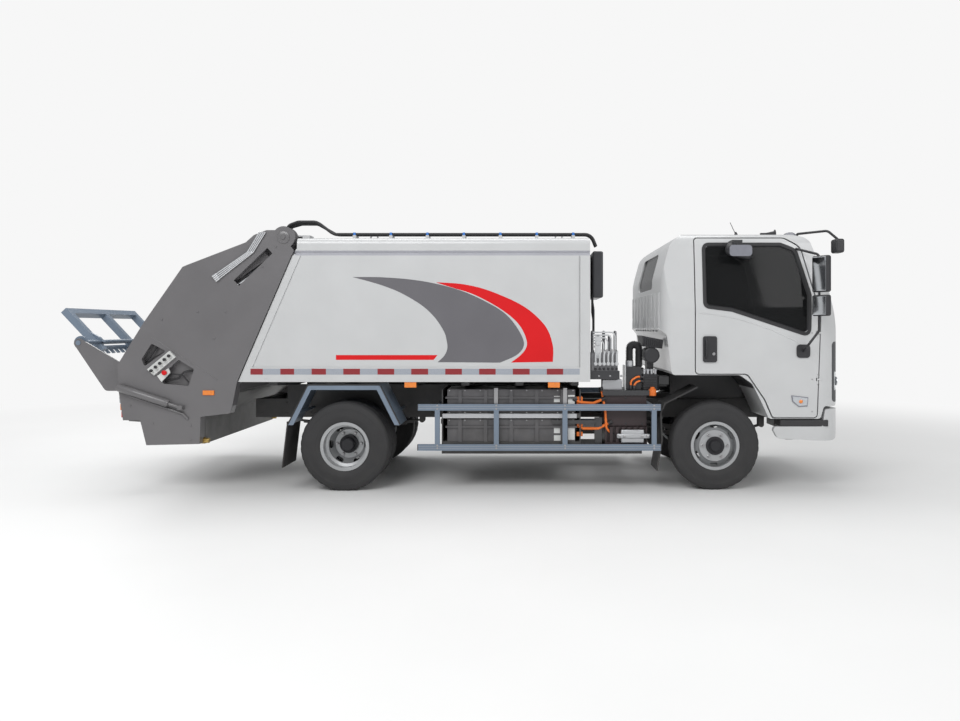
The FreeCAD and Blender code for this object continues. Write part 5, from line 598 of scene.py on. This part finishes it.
def grown(outline, distance):
    """A flat (a, b) outline moved outwards by a distance."""
    area = sum(p[0] * q[1] - q[0] * p[1] for p, q in zip(outline, outline[1:] + outline[:1]))
    way = 1 if area > 0 else -1
    line = []
    count = len(outline)
    for i in range(count):
        a, b, c = (Vector(outline[(i + k) % count]) for k in (-1, 0, 1))
        first, second = (b - a).normalized(), (c - b).normalized()
        normals = [Vector((v.y, -v.x)) * way for v in (first, second)]
        bisect = (normals[0] + normals[1]).normalized()
        reach = distance / max(0.35, bisect.dot(normals[0]))
        line.append(b + bisect * reach)
    return line


def bolts(name, spots, way, material, body, radius=0.008, height=0.006, sides=6):
    """Bolt heads with washers at points, standing along a way."""
    parts = []
    for spot in spots:
        base = Vector(spot) - Vector(way) * 0.0015
        head = [(radius, 0.002), (radius, 0.002 + height), (radius * 0.7, 0.003 + height)]
        parts.append(turned([(radius * 1.5, 0.0), (radius * 1.5, 0.003)], base, way, 12))
        parts.append(turned(head, base, way, sides))
    if parts:
        add(name, parts, material, body, smooth=20)


# Door trim: window seal, raised line, turn lamp, handle grip, key and hinge bolts

WINDOW_ROUNDS = (0.035, 0.035, 0.07, 0.07, 0.035, 0.105, 0.035)
door_window = [(3.268, 2.222), (3.95, 2.222), (4.075, 2.172), (4.19, 1.775), (4.182, 1.425), (3.504, 1.65),
               (3.268, 1.68)]
belt_line = [(3.2, 1.612), (3.509, 1.565), (3.807, 1.475), (4.05, 1.365), (4.2, 1.28)]
lamp_line = [(4.04, 0.858), (4.176, 0.842), (4.17, 0.776), (4.1, 0.77), (4.048, 0.812)]
for side, word in SIDES:
    node = "door_" + word
    out, inwards = (0, side, 0), (0, -side, 0)
    edge = dense(rounded(door_window, WINDOW_ROUNDS))
    lines = [flat(grown(edge, reach), side * BESIDE_Y) for reach in (0.03, 0.002, -0.008)]
    add("window_seal_" + word, [outline_band((node, "door_glass_" + word), lines, inwards, 0.004)],
        black_rubber, node, smooth=0)
    line = draped(node, flat(catmull(belt_line, 6), side * BESIDE_Y), inwards)
    if len(line) > 2:
        add("belt_line_" + word, [tube(line, 0.004, 0.01, 8)], white, node)
    face = hit(node, (at(4.1), side * BESIDE_Y, 0.82), inwards)
    if face:
        rim = placed(grown(lamp_line, 0.008))
        add("turn_lamp_base_" + word, [slab(rim, face.y - side * 0.001, face.y + side * 0.007)], smoke_lens,
            node, bevel=0.002)
        add("turn_lamp_" + word, [slab(placed(lamp_line), face.y, face.y + side * 0.014)], lens, node,
            bevel=0.003)
        bulb = [(0.017, 0.0), (0.017, 0.004), (0.011, 0.008), (0.0, 0.01)]
        base = (at(4.115), face.y + side * 0.012, 0.812)
        add("turn_bulb_" + word, [turned(bulb, base, out, 20)], amber, node)
    grip = [(at(3.262), side * y, z) for y, z in ((1.001, 1.2), (1.022, 1.23), (1.022, 1.35), (1.001, 1.38))]
    add("handle_grip_" + word, [tube(grip, 0.009, 0.015)], black_plastic, node)
    barrel = [(0.013, 0.0), (0.013, 0.004), (0.009, 0.005)]
    add("key_barrel_" + word, [turned(barrel, (at(3.33), side * 1.003, 1.24), out, 16)], steel, node)
    spots = flat(product([4.22], (0.72, 1.01, 1.43)), side * 0.9895)
    bolts("door_bolts_" + word, spots, out, steel, node, 0.005, 0.003)


# Windscreen seal, wipers, roof lamps, horn and aerial

screen = [(-0.85, 1.65), (0.85, 1.65), (0.79, 2.255), (-0.79, 2.255)]
edge = dense(rounded(screen, [0.0525] * 4))
lines = [[(AHEAD_X, a, b) for a, b in grown(edge, reach)] for reach in (0.03, 0.002, -0.01)]
add("windscreen_seal", [outline_band(("cab_shell", "windscreen"), lines, BACKWARDS, 0.004)], black_rubber,
    "cab", smooth=0)
for word, foot, tip in (("right", -0.12, -0.72), ("left", 0.62, 0.05)):
    arm = draped("cab_shell", [(AHEAD_X, foot, 1.6)], BACKWARDS, 0.01)
    line = [(AHEAD_X, tip + (foot - tip) * t, 1.78) for t in (0.0, 0.25, 0.5, 0.75, 0.95)]
    blade = draped("windscreen", line, BACKWARDS, 0.012)
    if arm and len(blade) > 2:
        middle = blade[len(blade) // 2]
        stalk = [arm[0], arm[0] + Vector((0.02, 0, 0.02)), middle + Vector((0.012, 0, 0))]
        pivot = turned([(0.02, -0.02), (0.02, 0.012), (0.012, 0.018)], arm[0], (1, 0, 0.2), 16)
        add("wiper_" + word, [tube(stalk, 0.006, 0.02), tube(blade, 0.007, 0.02), pivot], black_plastic,
            "cab")
for y in (-0.72, -0.36, 0.0, 0.36, 0.72):
    spot = hit("cab_shell", (at(4.1), y, ABOVE_Z), DOWN)
    if spot:
        base = spot.z - 0.004
        outline = placed(((4.05, base), (4.17, base - 0.014), (4.15, base + 0.028), (4.12, base + 0.042),
                          (4.07, base + 0.04)))
        add("roof_lamp_%d" % int(10 * y + 10), [slab(outline, y - 0.05, y + 0.05)], smoke_lens, "cab",
            bevel=0.01)
spot = hit("cab_shell", (at(3.98), -0.5, ABOVE_Z), DOWN)
if spot:
    bell = [(0.0, 0.0), (0.012, 0.0), (0.014, 0.06), (0.03, 0.13), (0.045, 0.14), (0.04, 0.14), (0.02, 0.12)]
    add("horn", [turned(bell, (at(3.9), -0.5, spot.z + 0.035), FORWARDS, 20),
                 cell((3.93, -0.512, spot.z - 0.004), (3.97, -0.488, spot.z + 0.03))], black_plastic, "cab")
spot = hit("cab_shell", (at(3.585), -0.8, ABOVE_Z), DOWN)
if spot:
    foot = spot - Vector((0, 0, 0.003))
    add("aerial", [tube([foot, spot + Vector((-0.055, 0, 0.115))], 0.003, 0.01, 8),
                   turned([(0.016, 0.0), (0.014, 0.012), (0.006, 0.03)], foot, (-0.1, 0, 1), 16)],
        black_plastic, "cab")


# Seats: crowned pads with sewn channels and piping on a plain plinth

for side, word in SIDES:
    y = side * 0.48
    plinth = add("seat_plinth_" + word, [cell((3.1, y - 0.2, 1.088), (3.54, y + 0.2, 1.255))], dark_plastic,
                 "cab", bevel=0.015)
    base, base_piping = cushion(Vector((at(3.32), y, 1.31)), (0.24, 0.24, 0.066), 0.0, 0.022)
    back, back_piping = cushion(Vector((at(3.12), y, 1.575)), (0.235, 0.235, 0.06), 83.5, 0.02)
    seat = add("seat_pad_" + word, [base], fabric, "cab", smooth=180)
    rest = add("seat_back_" + word, [back], fabric, "cab", smooth=180)
    piping = [tube(line, 0.004, 0.004, 8) for line in (base_piping, back_piping)]
    add("seat_piping_" + word, piping, black_rubber, "cab")
    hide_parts("seats")


# Pressed ribs and the lip on the cab's rear wall, and the kerb mirror's face

ribs = []
for y in [-0.86 + 0.215 * i for i in range(9)]:
    line = draped("cab_shell", [(at(1.0), y, 1.47 + 0.055 * i) for i in range(7)], FORWARDS, -0.002)
    if len(line) > 2:
        ribs.append(tube(line, 0.014, 0.02, 10))
lip = draped("cab_shell", [(at(1.0), -0.9 + 0.15 * i, 1.465) for i in range(13)], FORWARDS)
if len(lip) > 2:
    ribs.append(tube(lip, 0.01, 0.02, 10))
add("cab_rear_ribs", ribs, white, "cab")
face = hit("door_fittings_right", (at(3.545), -3.0, 2.16), (0, 1, 0))
if face:
    oval = rounded([(3.445, 2.112), (3.645, 2.112), (3.645, 2.212), (3.445, 2.212)], [0.035] * 4)
    add("kerb_mirror_face", [slab(placed(oval), face.y + 0.002, face.y - 0.003)], smoke_lens, "door_right")


# Wheel arch liners under the cab, the dark trim over the bumper, and the cab's rear support on the frame

arch_line = [(3.862, 0.68), (3.8, 0.8), (3.7, 0.93), (3.6, 1.02), (3.5, 1.044), (3.2, 1.045), (3.04, 1.045)]
for side, word in SIDES:
    outer = placed(catmull(arch_line, 4))
    inner = [(a, b + 0.005) for a, b in outer]
    wall = [(at(3.04), 0.8), *outer[::-1][:-6], (at(3.72), 0.8)]
    add("arch_liner_" + word, [ribbon(outer, inner, side * 0.44, side * 0.965),
                               slab(wall, side * 0.44, side * 0.445)], black_plastic, "cab")
    add("step_trim_" + word, [cell((3.935, side * 0.8, 0.584), (4.37, side * 0.984, 0.644))], black_plastic,
        bevel=0.006)
beams = [cell((2.87, -0.8, 0.93), (2.95, 0.8, 1.015))]
beams += [cell((2.87, y, 0.858), (2.95, y + 0.065, 0.935)) for y in (-0.375, 0.31)]
beams += [cell((2.86, y, 0.95), (2.96, y + 0.13, 1.03)) for y in (-0.83, 0.7)]
add("cab_support", beams, frame_paint, bevel=0.006)


# Headlamp units behind the lenses, and a blank front plate

for side, word in SIDES:
    for y, radius in ((0.7, 0.05), (0.82, 0.042)):
        spot = hit("headlamps", (AHEAD_X, side * y, 0.985), BACKWARDS)
        if spot:
            bowl = [(radius, -0.006), (radius, 0.0015), (radius * 0.86, 0.003), (radius * 0.8, -0.002),
                    (radius * 0.3, -0.006)]
            add("lamp_unit_%s_%d" % (word, int(y * 100)), [turned(bowl, spot, FORWARDS, 32)], chrome, "cab")
spot = hit("front_bumper", (AHEAD_X, 0.0, 0.6), BACKWARDS)
if spot:
    plate = block((spot.x - 0.004, -0.22, 0.55), (spot.x + 0.0006, 0.22, 0.62))
    add("front_plate", [plate], panel_white)


# Bolts on the frame, and bolts, end caps and grooves on the side guards

for side, word in SIDES:
    out = (0, side, 0)
    stations = [-0.95 + 0.24 * i for i in range(22)]
    spots = flat(product(stations, (0.64, 0.74)), side * 0.3745)
    bolts("rail_bolts_" + word, spots, out, casting, "chassis", 0.009, 0.006)
    stations = (0.8395, 1.3715, 1.9905, 2.7945)
    spots = flat(product(stations, (0.39, 0.415, 0.745, 0.775)), side * 0.9995)
    bolts("guard_bolts_" + word, spots, out, steel, "chassis", 0.006, 0.004)
    caps = [cell((x - 0.002 * way, side * 0.974, z + 0.001), (x + 0.006 * way, side * 1.001, z + 0.056))
            for x, way in ((0.665, -1), (2.855, 1)) for z in (0.368, 0.73)]
    add("guard_caps_" + word, caps, black_plastic, bevel=0.0015)
    lines = [cell((0.67, side * 0.9992, z - 0.0012), (2.85, side * 1.0006, z + 0.0012))
             for z in (0.387, 0.406, 0.749, 0.768)]
    add("guard_grooves_" + word, lines, steel, smooth=0)
    # Straps, blank labels, ledge and bolts on the battery boxes
    straps = [cell((x - 0.018, side * 0.95, low), (x + 0.018, side * 0.96, high))
              for x in (1.367, 1.993) for low, high in ((0.44, 0.66), (0.695, 0.93))]
    add("battery_straps_" + word, straps, steel, bevel=0.0015)
    labels = [cell((a, side * 0.9395, low), (b, side * 0.9425, high)) for a, b, low, high in (
        (1.893, 1.948, 0.8, 0.857), (2.02, 2.081, 0.785, 0.865), (1.893, 1.948, 0.519, 0.579),
        (2.02, 2.081, 0.459, 0.579), (1.893, 1.955, 0.45, 0.5))]
    add("battery_labels_" + word, labels, panel_white, smooth=0)
    add("battery_ledge_" + word, [cell((0.88, side * 0.953, 0.656), (2.1, side * 0.962, 0.699))], aluminium,
        bevel=0.003)
    stations = [0.945 + 0.14 * i for i in range(9)]
    spots = flat(product(stations, (0.708, 0.907, 0.637)), side * 0.9565)
    bolts("battery_bolts_" + word, spots, out, steel, "chassis", 0.004, 0.003)


# Orange cables with their glands, plugs and bracket: each line is (station, y, z), then the cable's radius

cables = [
    ([(2.07, -0.93, 0.83), (2.13, -0.95, 0.8), (2.25, -0.94, 0.79), (2.36, -0.9, 0.83)], 0.013),
    ([(2.07, -0.9, 0.6), (2.16, -0.93, 0.56), (2.3, -0.93, 0.56), (2.42, -0.9, 0.62)], 0.013),
    ([(2.33, -0.86, 0.93), (2.36, -0.93, 0.72), (2.37, -0.93, 0.56), (2.43, -0.9, 0.5)], 0.011),
    ([(2.62, -0.86, 0.9), (2.64, -0.84, 1.0), (2.72, -0.74, 1.0), (2.74, -0.6, 0.92)], 0.011),
    ([(2.13, -0.4, 0.72), (2.2, -0.46, 0.7), (2.3, -0.5, 0.72), (2.38, -0.53, 0.72)], 0.013),
    ([(2.6, -0.875, 0.91), (2.6, -0.875, 0.99), (2.66, -0.875, 1.03), (2.72, -0.855, 1.02)], 0.009),
    ([(2.63, -0.885, 0.91), (2.63, -0.885, 0.96), (2.67, -0.885, 0.99), (2.72, -0.865, 0.985)], 0.009)]
add("orange_cables", [tube(placed(line), r, 0.05) for line, r in cables], orange)
glands = []
for line, radius in cables:
    path = [Vector(point) for point in placed(line)]
    sleeve = [(radius * 1.6, 0.0), (radius * 1.6, 0.02), (radius * 1.2, 0.026), (radius * 1.1, 0.04)]
    for end, inner in ((path[0], path[1]), (path[-1], path[-2])):
        glands.append(turned(sleeve, end, inner - end, 12))
add("cable_glands", glands, black_plastic)
plugs = [cell((2.1, -0.94, low), (2.155, -0.86, low + 0.038)) for low in (0.81, 0.772, 0.58, 0.49)]
add("battery_plugs", plugs, orange, bevel=0.004)
add("cable_bracket", [cell((2.262, -0.935, 0.384), (2.33, -0.912, 0.66)),
                      cell((1.87, -0.966, 0.605), (2.266, -0.953, 0.64))], black_paint, bevel=0.002)


# Control gear behind the cab, right side

LID_Z = 0.904
add("gear_boxes", [cell((2.556, -0.86, LID_Z), (2.7, -0.7, 1.12)),
                   cell((2.714, -0.86, LID_Z), (2.85, -0.66, 1.05))], black_plastic, bevel=0.006)
add("gear_ribs", [cell((2.716, -0.868, 0.93 + 0.024 * i), (2.848, -0.858, 0.938 + 0.024 * i))
                  for i in range(5)], black_plastic, bevel=0.002)
add("gear_plate", [cell((2.547, -0.862, LID_Z), (2.557, -0.7, 1.13))], pipe_white, bevel=0.001)
add("silver_box", [cell((2.339, -0.87, LID_Z), (2.523, -0.75, 1.0))], aluminium, bevel=0.006)
bottle = [(0.0, 0.0), (0.03, 0.004), (0.034, 0.015), (0.034, 0.06), (0.02, 0.07), (0.02, 0.082), (0.0, 0.084)]
add("reservoir", [turned(bottle, (at(2.795), -0.9, 0.852), UP, 24)], orange)
bend = placed(((2.598, -0.8, 1.165), (2.598, -0.8, 1.32), (2.684, -0.8, 1.32), (2.684, -0.8, 1.115)))
arch = smooth_path(bend, 0.042, 8)
ring = [(0.028, -0.004), (0.036, -0.002), (0.036, 0.002), (0.028, 0.004)]
rings = []
for a, b in zip(arch, arch[1:]):
    steps = max(1, round((b - a).length / 0.011))
    rings += [turned(ring, a + (b - a) * i / steps, b - a, 16) for i in range(steps)]
add("intake_hose", [tube(arch, 0.0295, 0.001, 16)] + rings, black_rubber)
socket = [(0.037, 0.0), (0.037, 0.05), (0.033, 0.056)]
add("hose_socket", [turned(socket, (at(2.598), -0.8, 1.118), UP, 24)], aluminium)
tap = [(0.012, 0.0), (0.012, 0.03), (0.016, 0.032), (0.016, 0.045), (0.008, 0.05)]
taps = [turned(tap, (at(2.73 + 0.034 * i), -0.83, 1.048), UP, 16) for i in range(4)]
add("coolant_taps", taps, aluminium)
duct = [(2.7, 1.405), (2.895, 1.365), (2.885, 1.285), (2.715, 1.305)]
slats = []
for i in range(9):
    slat = placed(((2.722 + 0.018 * i, 1.388 - 0.0036 * i), (2.731 + 0.018 * i, 1.386 - 0.0036 * i),
                   (2.733 + 0.018 * i, 1.312 - 0.002 * i), (2.724 + 0.018 * i, 1.313 - 0.002 * i)))
    slats.append(slab(slat, -0.91, -0.898))
add("intake_duct", [slab(placed(duct), -0.9, -0.58)] + slats, black_plastic, bevel=0.003)
drum = [(0.06, 0.0), (0.072, 0.008), (0.072, 0.05), (0.067, 0.055), (0.067, 0.28), (0.06, 0.3)]
add("intake_canister", [turned(drum, (at(2.79), -0.9, 1.225), (0, 1, 0), 32),
                        cell((2.76, -0.8, 1.04), (2.82, -0.68, 1.17)),
                        cell((2.77, -0.84, 1.28), (2.83, -0.66, 1.3))], black_plastic)
add("gear_lid_seam", [cell((2.362, -0.9012, 0.858), (2.738, -0.8995, 0.862))], steel, smooth=0)
spots = flat(product((2.4, 2.55, 2.7), (0.835, 0.6)), -0.9)
bolts("gear_bolts", spots, RIGHTWARDS, black_plastic, "chassis", 0.006, 0.004)
add("pump_unit", [cell((2.5, -0.962, 0.432), (2.71, -0.932, 0.552)),
                  cell((2.462, -0.974, 0.474), (2.762, -0.934, 0.516))], aluminium, bevel=0.009)
stud = [(0.014, 0.0), (0.014, 0.008), (0.009, 0.01), (0.009, 0.016)]
studs = [turned(stud, (at(x), -0.973, 0.495), RIGHTWARDS, 16) for x in (2.485, 2.53, 2.69, 2.738)]
add("pump_studs", studs, steel)


# Front of the load body, right side: pipes with nuts, tank pipes, blue strip, gauge, and valve coils

COIL_STATIONS = [2.268 + 0.038 * i for i in range(6)]
nut = [(0.0125, 0.0), (0.0125, 0.03), (0.009, 0.034)]
pipes = []
pipe_nuts = []
for i in range(6):
    x, z = 2.277 + 0.034 * i, 1.31 + 0.025 * i
    line = ((2.246, -0.95, z), (x - 0.018, -0.95, z), (x, -0.95, z - 0.035), (x, -0.95, 1.248))
    pipes.append(tube(placed(line), 0.007, 0.03, 10))
    pipe_nuts.append(turned(nut, (at(x), -0.95, 1.249), UP, 6))
for x in COIL_STATIONS:
    line = ((x, -0.985, 1.155), (x, -0.985, 1.225), (x + 0.009, -0.96, 1.26))
    pipes.append(tube(placed(line), 0.0085, 0.03, 10))
add("front_pipes", pipes, pipe_white)
add("pipe_nuts", pipe_nuts, steel, smooth=20)
pipes = []
for i, y in enumerate((-0.82, -0.85, -0.88, -0.91)):
    rise = 0.03 * i
    line = ((2.258, y, 1.42), (2.258, y, 1.55 + rise), (2.249, y + 0.01, 1.62 + rise),
            (2.249, y + 0.01, 1.76))
    pipes.append(tube(placed(line), 0.0075, 0.04))
add("tank_pipes", pipes, black_rubber)
add("blue_strip", [cell((2.213, -0.99, 1.461), (2.219, -0.955, 1.683))], blue, bevel=0.001)
dial = [(0.021, 0.0), (0.021, 0.008), (0.016, 0.011), (0.0, 0.011)]
add("gauge_plate", [cell((2.262, -0.972, 1.2), (2.318, -0.9645, 1.4)),
                    turned(dial, (at(2.29), -0.9715, 1.335), RIGHTWARDS, 24)], pipe_white, bevel=0.001)
coil = [(0.017, 0.0), (0.017, 0.03), (0.011, 0.034), (0.011, 0.046)]
cap = [(0.012, 0.0), (0.012, 0.018), (0.008, 0.022)]
for name, form, z, look in (("valve_coils", coil, 1.15, pipe_white),
                            ("valve_caps", cap, 1.104, black_plastic)):
    add(name, [turned(form, (at(x), -0.965, z), RIGHTWARDS, 16) for x in COIL_STATIONS], look)
spots = flat([(2.3 + 0.1 * i, 1.04) for i in range(3)], -0.975)
bolts("valve_bolts", spots, RIGHTWARDS, steel, "chassis", 0.008, 0.006)


# Load body: lifting eyes, hose clamps, sill rivets and post seams

for y in (-0.62, 0.62):
    for x in (0.2, 1.95):
        spot = hit("body_shell", (at(x), y, ABOVE_Z), DOWN)
        if spot:
            turns = [math.pi * 2 * k / 16 for k in range(17)]
            ring = [spot + Vector((0.035 * math.cos(a), 0, 0.034 + 0.035 * math.sin(a))) for a in turns]
            foot = block((spot.x - 0.04, y - 0.03, spot.z - 0.003), (spot.x + 0.04, y + 0.03, spot.z + 0.006))
            add("lifting_eye_%d_%d" % (int(x * 10), int(y * 10) + 10), [tube(ring, 0.008, 0.001, 8), foot],
                steel)
clamps = [cell((x - 0.011, -0.918, 2.318), (x + 0.011, -0.801, 2.3455))
          for x in [0.075 + 0.3325 * i for i in range(7)]]
add("hose_clamps", clamps, blue, bevel=0.002)
for side, word in SIDES:
    spots = [(2.145, 1.16 + 0.09 * i) for i in range(11)] + [(-0.7 + 0.2 * i, 1.02) for i in range(15)]
    bolts("sill_rivets_" + word, flat(spots, side * 1.0345), (0, side, 0), white, "chassis", 0.006, 0.002, 12)
    seam = cell((2.121, side * 1.0355, 1.12), (2.123, side * 1.0347, 2.12))
    add("post_seam_" + word, [seam], black_plastic, smooth=0)


# Fender edges, rear lamps, rear plate and the bases of the side markers

for side, word in SIDES:
    corners = ((-0.505, 0.605), (-0.325, 0.962), (0.325, 0.962), (0.505, 0.605))
    add("fender_edge_" + word, [tube(flat(corners, side * 1.008), 0.007, 0.03, 8)], black_rubber)
    for index, (z, look) in enumerate(((0.7, red_lens), (0.765, amber), (0.83, lens))):
        spot = hit("tailgate_shell", (BEHIND_X, side * 0.99, z), FORWARDS)
        if spot:
            unit = block((spot.x - 0.016, side * 0.945, z - 0.028), (spot.x + 0.006, side * 1.035, z + 0.028))
            add("tail_lamp_%s_%d" % (word, index), [unit], look, "tailgate", bevel=0.004)
spot = hit("hopper_tub", (BEHIND_X, 0.0, 0.9), FORWARDS)
if spot:
    plate = block((spot.x - 0.004, -0.22, 0.86), (spot.x + 0.012, 0.22, 0.94))
    add("rear_plate", [plate], panel_white, "tailgate", bevel=0.002)
bases = [cell((x - 0.01, side * 1.0, 0.988), (x + 0.115, side * 1.034, 0.9915))
         for side, _ in SIDES for x in (0.549, 1.837)]
add("side_marker_bases", bases, black_plastic, smooth=0)


# Tailgate sides: seam, bolts, hinge cap and marker

seam = [(-1.715, 1.395), (-1.304, 1.127), (-1.116, 1.005)]
tailgate_bolts = [(-0.6, 2.2), (-0.72, 2.02), (-1.05, 1.62), (-1.15, 1.38), (-1.3, 1.62), (-1.62, 1.55),
                  (-1.9, 0.78), (-1.7, 0.62), (-1.36, 0.6), (-1.36, 0.47)]
hub = [(0.055, 0.0), (0.055, 0.006), (0.045, 0.01), (0.02, 0.01), (0.018, 0.018)]
for side, word in SIDES:
    out = (0, side, 0)
    add("tailgate_seam_" + word, [tube(flat(seam, side * 1.0503), 0.0035, 0.04, 8)], grey, "tailgate")
    bolts("tailgate_bolts_" + word, flat(tailgate_bolts, side * TAILGATE_SIDE), out, grey, "tailgate",
          0.008, 0.004)
    add("hinge_cap_" + word, [turned(hub, (at(-0.53), side * 1.0498, 2.285), out, 32)], grey, "tailgate")
    add("tailgate_marker_" + word, [cell((-1.25, side * 1.049, 0.873), (-1.148, side * 1.062, 0.916))], amber,
        "tailgate", bevel=0.003)


# Second panel, lever caps and stop button, right side

second_panel = placed(((-1.657, 1.046), (-1.556, 1.116), (-1.538, 1.076), (-1.617, 0.992)))
skin = -TAILGATE_SIDE
add("second_panel", [slab(second_panel, skin + 0.001, skin - 0.012)], panel_white, "tailgate", bevel=0.002)
lever_cap = [(0.0135, -0.002), (0.0145, 0.002), (0.0145, 0.012), (0.01, 0.018), (0.0, 0.019)]
panel = [(-1.741, 1.105), (-1.542, 1.27), (-1.488, 1.215), (-1.681, 1.05)]
levers = []
for i in range(5):
    t = (i + 0.5) / 5
    x, z = [((a + d) * (1 - t) + (b + c) * t) / 2 for a, b, c, d in zip(*panel)]
    levers.append(turned(lever_cap, (at(x), skin - 0.044, z), RIGHTWARDS, 20))
add("lever_caps", levers, black_plastic, "tailgate")
button = [(0.014, 0.0), (0.014, 0.01), (0.022, 0.012), (0.022, 0.022), (0.012, 0.028), (0.0, 0.028)]
add("stop_button", [turned(button, (at(-1.585), skin - 0.011, 1.075), RIGHTWARDS, 24)], red, "tailgate")


# Lower cylinder with its pipe, hoses in the bay and drain valve, on both sides of the tailgate

cylinder = [(0.0, 0.0), (0.03, 0.004), (0.034, 0.012), (0.034, 0.46), (0.03, 0.468), (0.03, 0.48),
            (0.014, 0.482), (0.014, 0.6), (0.0, 0.6)]
bay_hoses = [
    (0.009, [(-1.785, 1.012, 1.17), (-1.74, 1.026, 1.205), (-1.68, 1.02, 1.3), (-1.66, 1.0, 1.31)]),
    (0.007, [(-1.77, 1.02, 1.145), (-1.7, 1.028, 1.21), (-1.6, 1.01, 1.26)]),
    (0.009, [(-1.36, 1.01, 1.09), (-1.43, 1.026, 1.08), (-1.48, 1.03, 1.02), (-1.6, 1.01, 1.0)]),
    (0.007, [(-1.39, 1.02, 0.985), (-1.44, 1.03, 1.05), (-1.53, 1.026, 1.06), (-1.6, 1.01, 1.03)])]
valve = [(0.018, 0.0), (0.018, 0.03), (0.03, 0.032), (0.03, 0.06), (0.024, 0.062), (0.024, 0.1), (0.0, 0.1)]
for side, word in SIDES:
    skin = side * TAILGATE_SIDE
    axis_y, clamp_y, pipe_y = (skin + side * reach for reach in (0.034, 0.05, 0.012))
    start, end = Vector((at(-2.0), axis_y, 0.947)), Vector((at(-1.43), axis_y, 0.762))
    add("lower_cylinder_" + word, [turned(cylinder, start, (end - start).normalized(), 24),
                                   cell((-2.012, skin, 0.92), (-1.97, clamp_y, 0.96)),
                                   cell((-1.46, skin, 0.745), (-1.418, clamp_y, 0.785))],
        grey, "tailgate", bevel=0.003)
    line = placed(((-1.9, pipe_y, 0.868), (-1.43, pipe_y, 0.71), (-1.38, pipe_y, 0.66)))
    add("lower_pipe_" + word, [tube(line, 0.009, 0.03, 12)], grey, "tailgate")
    hoses = [tube([(at(x), side * y, z) for x, y, z in line], radius, 0.03, 10) for radius, line in bay_hoses]
    add("bay_hoses_" + word, hoses, black_rubber, "tailgate")
    add("drain_valve_" + word, [turned(valve, (at(-1.335), side * 0.95, 0.455), FORWARDS, 16),
                                turned([(0.012, 0.0), (0.012, 0.03)], (at(-1.32), side * 0.925, 0.455),
                                       (0, side, 0), 12)], brass, "tailgate")

# Floor, light and camera

WHITE_STRENGTH = 0.93
FLOOR_HALF = 60
FADE_START, FADE_END = 4.2, 11.0
floor_look = finish("floor", (0.8, 0.8, 0.795), 0.6, grain=0.015, grain_scale=0.6, bump=0.1, bump_scale=40)
tree = floor_look.node_tree
place = shader_node(tree, "TexCoord").outputs["Object"]
reach = shader_node(tree, "VectorMath", {0: place}, operation="LENGTH")
blend = shader_node(tree, "MapRange", {"Value": reach.outputs["Value"], "From Min": FADE_START,
                                       "From Max": FADE_END}, interpolation_type="SMOOTHSTEP")
far = shader_node(tree, "Emission", {"Color": WHITE, "Strength": WHITE_STRENGTH})
both = shader_node(tree, "MixShader", {"Fac": blend.outputs["Result"], 2: far.outputs["Emission"],
                                       1: tree.nodes["Principled BSDF"].outputs["BSDF"]})
tree.links.new(both.outputs["Shader"], tree.nodes["Material Output"].inputs["Surface"])
floor_mesh = bpy.data.meshes.new("floor")
corners = [(a * FLOOR_HALF, b * FLOOR_HALF, 0) for a, b in ((-1, -1), (1, -1), (1, 1), (-1, 1))]
floor_mesh.from_pydata(corners, [], [(0, 1, 2, 3)])
floor_mesh.materials.append(floor_look)
floor = bpy.data.objects.new("floor", floor_mesh)
bpy.context.scene.collection.objects.link(floor)

world = bpy.data.worlds.new("studio")
bpy.context.scene.world = world
world.use_nodes = True
sky = world.node_tree
soft = sky.nodes["Background"]
soft.inputs["Color"].default_value = (0.88, 0.89, 0.9, 1.0)
soft.inputs["Strength"].default_value = 0.5
seen = shader_node(sky, "Background", {"Color": WHITE, "Strength": WHITE_STRENGTH})
direct = shader_node(sky, "LightPath").outputs["Is Camera Ray"]
choice = shader_node(sky, "MixShader", {"Fac": direct, 1: soft.outputs["Background"],
                                        2: seen.outputs["Background"]})
sky.links.new(choice.outputs["Shader"], sky.nodes["World Output"].inputs["Surface"])


def lamp(name, place, aim, size, power, colour=(1, 1, 1)):
    data = bpy.data.lights.new(name, "AREA")
    data.shape = "RECTANGLE"
    data.size, data.size_y = size
    data.energy = power
    data.color = colour
    item = bpy.data.objects.new(name, data)
    item.location = place
    item.rotation_euler = (Vector(aim) - Vector(place)).to_track_quat("-Z", "Y").to_euler()
    bpy.context.scene.collection.objects.link(item)


lamp("key", (-3.0, -9.0, 8.0), (0.0, 0.0, 1.0), (7.0, 5.0), 600)
lamp("fill", (7.0, -7.0, 5.0), (1.0, 0.0, 1.0), (5.0, 4.0), 190)
lamp("top", (0.0, 1.0, 9.0), (0.0, 0.0, 1.0), (9.0, 5.0), 380)
lamp("back", (-7.0, 6.0, 5.0), (-1.0, 0.0, 1.5), (5.0, 4.0), 220)

# The photo's one-point view: its sideways focal length, its width and its vanishing point from the middle
FOCAL_PIXELS = 777.0
WIDTH_PIXELS = 960.0
VANISH_PIXELS = (-45.0, -32.5)
SENSOR = 36.0
CAMERA_PLACE = (at(1.63), -8.0, 1.474)
view = bpy.data.cameras.new("view")
view.sensor_width = SENSOR
view.lens = SENSOR * FOCAL_PIXELS / WIDTH_PIXELS
view.shift_x = VANISH_PIXELS[0] / WIDTH_PIXELS
view.shift_y = VANISH_PIXELS[1] / WIDTH_PIXELS
camera = bpy.data.objects.new("view", view)
camera.location = CAMERA_PLACE
camera.rotation_euler = (math.radians(90), 0, 0)
bpy.context.scene.collection.objects.link(camera)
bpy.context.scene.camera = camera
bpy.context.scene.view_settings.view_transform = "Standard"
